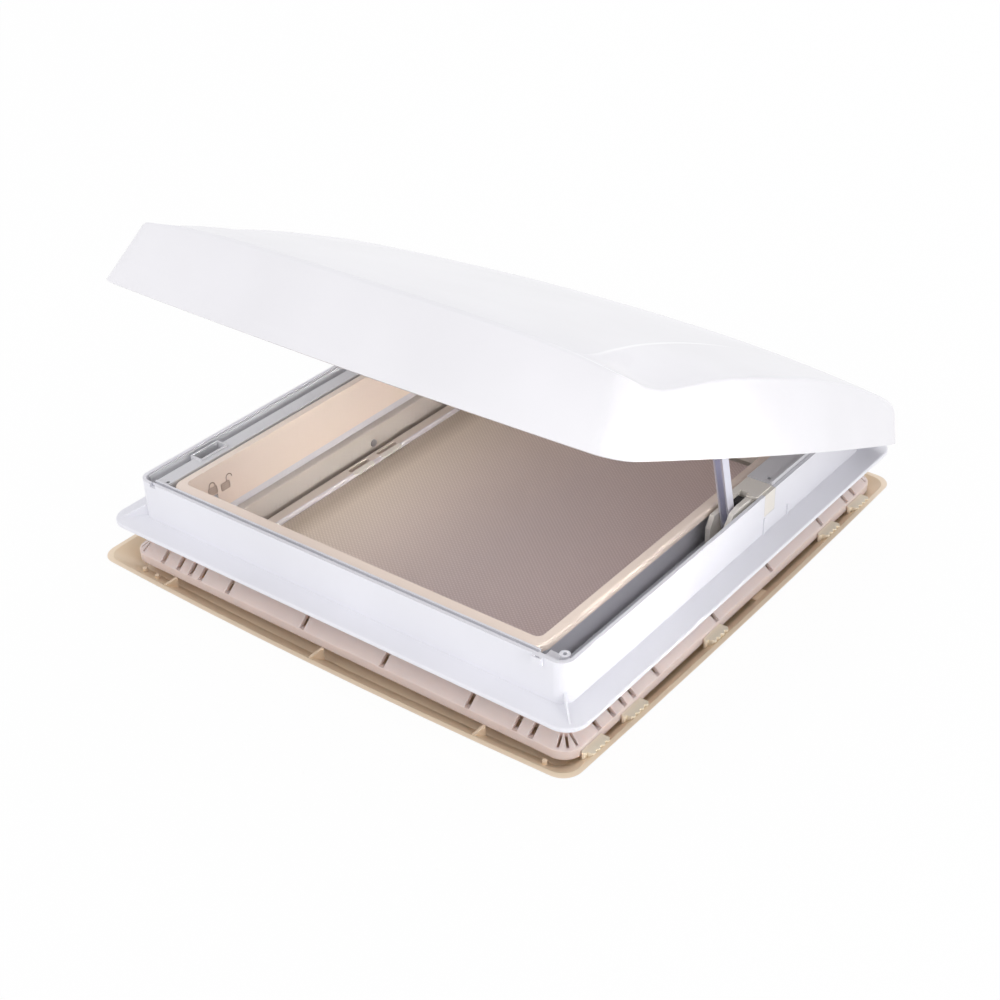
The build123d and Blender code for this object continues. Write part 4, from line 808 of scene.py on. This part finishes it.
# A highlight is painted on the crease: its colour is mixed towards plain white there, like a
# gloss edge catching the light
lid_abs = moulded_plastic("lid_abs", (0.87, 0.862, 0.88), roughness=0.25, depth=0.01)
lid_tree = lid_abs.node_tree
highlight_share = lid_tree.nodes.new("ShaderNodeAttribute")
highlight_share.attribute_name = "crease_highlight"
lid_colour = lid_tree.nodes["Principled BSDF"].inputs["Base Color"]
lid_white = lid_colour.links[0].from_socket
highlighted_white = mixed_colour(lid_tree, highlight_share.outputs["Fac"], lid_white, plain_white)
lid_tree.links.new(highlighted_white, lid_colour)
lid_mesh = bmesh.new()
highlight_layer = lid_mesh.verts.layers.float.new("crease_highlight")


def lid_vertex(x, along, height):
    """New point of the lid's mesh."""
    return lid_mesh.verts.new(lid_place(x, along, height))


# Crown: a grid between the inner corners, bowed with the front edge
front_bows = [
    crest_place(key)[1] - front_crest_corner - front_corner_along for key in front_keys
]
front_bows[0] = front_bows[-1] = 0.0
crown_grid = []
for share in row_shares:
    half, along, _ = crest_place(("right", share))
    half -= rear_crest_corner + (front_crest_corner - rear_crest_corner) * share
    row = []
    for x, bow in zip(columns_at(along, half), front_bows):
        place = along + share * bow
        row.append(lid_vertex(x, place, crown_height(x, place)))
    if crease_highlight[0][0] < along < crease_highlight[-1][0]:
        for crease_column in (half_columns + crown_columns + 1, half_columns - crown_columns - 1):
            row[crease_column][highlight_layer] = smooth_law(crease_highlight, along)
    crown_grid.append(row)
for low_row, high_row in zip(crown_grid, crown_grid[1:]):
    for k in range(len(low_row) - 1):
        lid_mesh.faces.new((low_row[k], low_row[k + 1], high_row[k + 1], high_row[k]))

# Skirt and rounded crest: one column of points for each key, ending on the edge of the grid
skirt_columns = []
for key in skirt_keys:
    if key[0] == "front":
        inner = crown_grid[-1][front_keys.index(key)]
    elif key[0] == "rear":
        inner = crown_grid[0][rear_keys.index(key)]
    elif key[0] == "corner":
        inner = crown_grid[-1 if key[1] == "front" else 0][-1 if key[2] == "right" else 0]
    else:
        inner = crown_grid[row_shares.index(key[1])][-1 if key[0] == "right" else 0]
    x, along, height = crest_place(key)
    round_start, round_end = rear_round_ends
    blend = min(max((along - round_start) / (round_end - round_start), 0), 1)
    blend = blend * blend * (3 - 2 * blend)
    reach = rear_crest_round + (front_crest_round - rear_crest_round) * blend
    skirt_height = height - reach
    column = [
        lid_vertex(*skirt_place(key, level), level)
        for level in (skirt_height * k / skirt_steps for k in range(skirt_steps))
    ]
    crest = lid_place(x, along, height)
    low = lid_place(*skirt_place(key, skirt_height), skirt_height)
    inward = (inner.co - crest).normalized()
    high = crest + inward * reach / 1000
    for k in range(crest_steps + 1):
        t = k / crest_steps
        column.append(lid_mesh.verts.new(
            (1 - t) ** 2 * low + 2 * t * (1 - t) * crest + t * t * high
        ))
    column.append(inner)
    skirt_columns.append(column)
for left, right in zip(skirt_columns, skirt_columns[1:] + skirt_columns[:1]):
    for k in range(len(left) - 1):
        corners = [left[k], right[k], right[k + 1], left[k + 1]]
        corners = [v for n, v in enumerate(corners) if v not in corners[:n]]
        if len(corners) > 2:
            lid_mesh.faces.new(corners)
bmesh.ops.recalc_face_normals(lid_mesh, faces=lid_mesh.faces)


def soft_edge(piece, width, angle):
    """Takes the sharpness off the edges of a moulding."""
    edge = piece.modifiers.new("edge", "BEVEL")
    edge.width = width / 1000
    edge.segments = 2
    edge.limit_method = "ANGLE"
    edge.angle_limit = math.radians(angle)


lid_moulding = build_piece("lid_moulding", lid_mesh, lid_abs, "lid")
skin = lid_moulding.modifiers.new("skin", "SOLIDIFY")
skin.thickness = skin_thickness / 1000
skin.offset = -1
soft_edge(lid_moulding, skin_lip, skin_lip_angle)
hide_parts("lid_shell")

# Ribs of the lid. Moulded with it in the same white ABS: a rounded frame that carries the seal,
# two posts for the track of the stay, and one for the lock. They end inside the lid's skin.
rib_half_x = 183.0
rib_half_along = 201.0
rib_middle_along = 225.97
rib_corner = 12.0
rib_corner_steps = 6
rib_spacing = 14.0
rib_wall = 2.0
rib_foot = 28.44
rib_bite = 1.3
# Place across and along, foot and radius of each post
lid_posts = ((206.8, 344.97, 44.5, 3.4), (206.8, 264.97, 44.5, 3.4), (-200.0, 376.97, 28.44, 6.0))
post_sides = 20
rib_mesh = bmesh.new()


def rounded_frame(half_x, half_along, corner):
    """Points round a rounded rectangle, close together on its straight sides too."""
    points = []
    # Side of the middle that each corner is on, and the way to the next one
    for turn, (side_x, side_along, way_x, way_along) in enumerate((
        (1, 1, -1, 0), (-1, 1, 0, -1), (-1, -1, 1, 0), (1, -1, 0, 1),
    )):
        for k in range(rib_corner_steps + 1):
            bend = turn * math.pi / 2 + k * math.pi / 2 / rib_corner_steps
            points.append((
                (half_x - corner) * side_x + corner * math.cos(bend),
                (half_along - corner) * side_along + corner * math.sin(bend),
            ))
        run = 2 * ((half_x if way_x else half_along) - corner)
        count = int(run / rib_spacing)
        x, along = points[-1]
        points += [
            (x + way_x * run / count * k, along + way_along * run / count * k)
            for k in range(1, count)
        ]
    return points


rib_rings = []
for offset in (rib_wall / 2, -rib_wall / 2):
    outline = rounded_frame(rib_half_x + offset, rib_half_along + offset, rib_corner + offset)
    for top in (False, True):
        rib_rings.append([
            rib_mesh.verts.new(lid_place(
                x, along + rib_middle_along,
                crown_height(x, along + rib_middle_along) - rib_bite if top else rib_foot,
            ))
            for x, along in outline
        ])
outer_foot, outer_top, inner_foot, inner_top = rib_rings
wall_between(rib_mesh, outer_foot, outer_top)
wall_between(rib_mesh, outer_top, inner_top)
wall_between(rib_mesh, inner_top, inner_foot)
wall_between(rib_mesh, inner_foot, outer_foot)
for x, along, foot, radius in lid_posts:
    bends = [2 * math.pi * k / post_sides for k in range(post_sides)]
    lower, upper = [
        [
            rib_mesh.verts.new(lid_place(
                x + radius * math.cos(bend), along + radius * math.sin(bend), height
            ))
            for bend in bends
        ]
        for height in (foot, crown_height(x, along) - rib_bite)
    ]
    wall_between(rib_mesh, lower, upper)
    rib_mesh.faces.new(lower)
    rib_mesh.faces.new(upper)
bmesh.ops.recalc_face_normals(rib_mesh, faces=rib_mesh.faces)
lid_rib_frame = build_piece("lid_rib_frame", rib_mesh, lid_abs, "lid", smooth=False)

# Hinge arms. Moulded into the rear of the lid, under its rounded crest, in the same white ABS:
# a neck, and a barrel that turns on the pin between the ears of the frame.
arm_middle = 199.0
arm_half_width = 7.7
arm_crest = ((4.0, 24.0), (6.0, 29.0), (9.9, 31.0))
arm_edge = 0.5
arm_edge_angle = 40
barrel_radius = 4.5
barrel_turn = (math.radians(30), math.radians(-244))
barrel_steps = 24
arm_outline = list(arm_crest)
for k in range(barrel_steps + 1):
    bend = barrel_turn[0] + (barrel_turn[1] - barrel_turn[0]) * k / barrel_steps
    arm_outline.append((
        rim_behind_hinge + barrel_radius * math.cos(bend),
        -rim_above_hinge + barrel_radius * math.sin(bend),
    ))
for side, name in ((-1, "left"), (1, "right")):
    arm_mesh = bmesh.new()
    ends = [
        [
            arm_mesh.verts.new(lid_place(side * arm_middle + edge, along, height))
            for along, height in arm_outline
        ]
        for edge in (-arm_half_width, arm_half_width)
    ]
    for end in ends:
        arm_mesh.faces.new(end)
    wall_between(arm_mesh, *ends)
    bmesh.ops.recalc_face_normals(arm_mesh, faces=arm_mesh.faces)
    arm = build_piece(name + "_arm", arm_mesh, lid_abs, "lid", smooth=False)
    soft_edge(arm, arm_edge, arm_edge_angle)
    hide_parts(name + "_hinge_arm")

# Fittings of the lid. Its inner skin is white ABS, and a rubber seal goes round the rib. The
# track of the stay, the lock's striker and the slide in the frame that holds it are light grey.
finish_node("lid_liner", lid_abs)
finish_node("lid_seal", seal_rubber)
for name in ("stay_track", "lock_striker", "lock_slide"):
    finish_node(name, grey_abs)
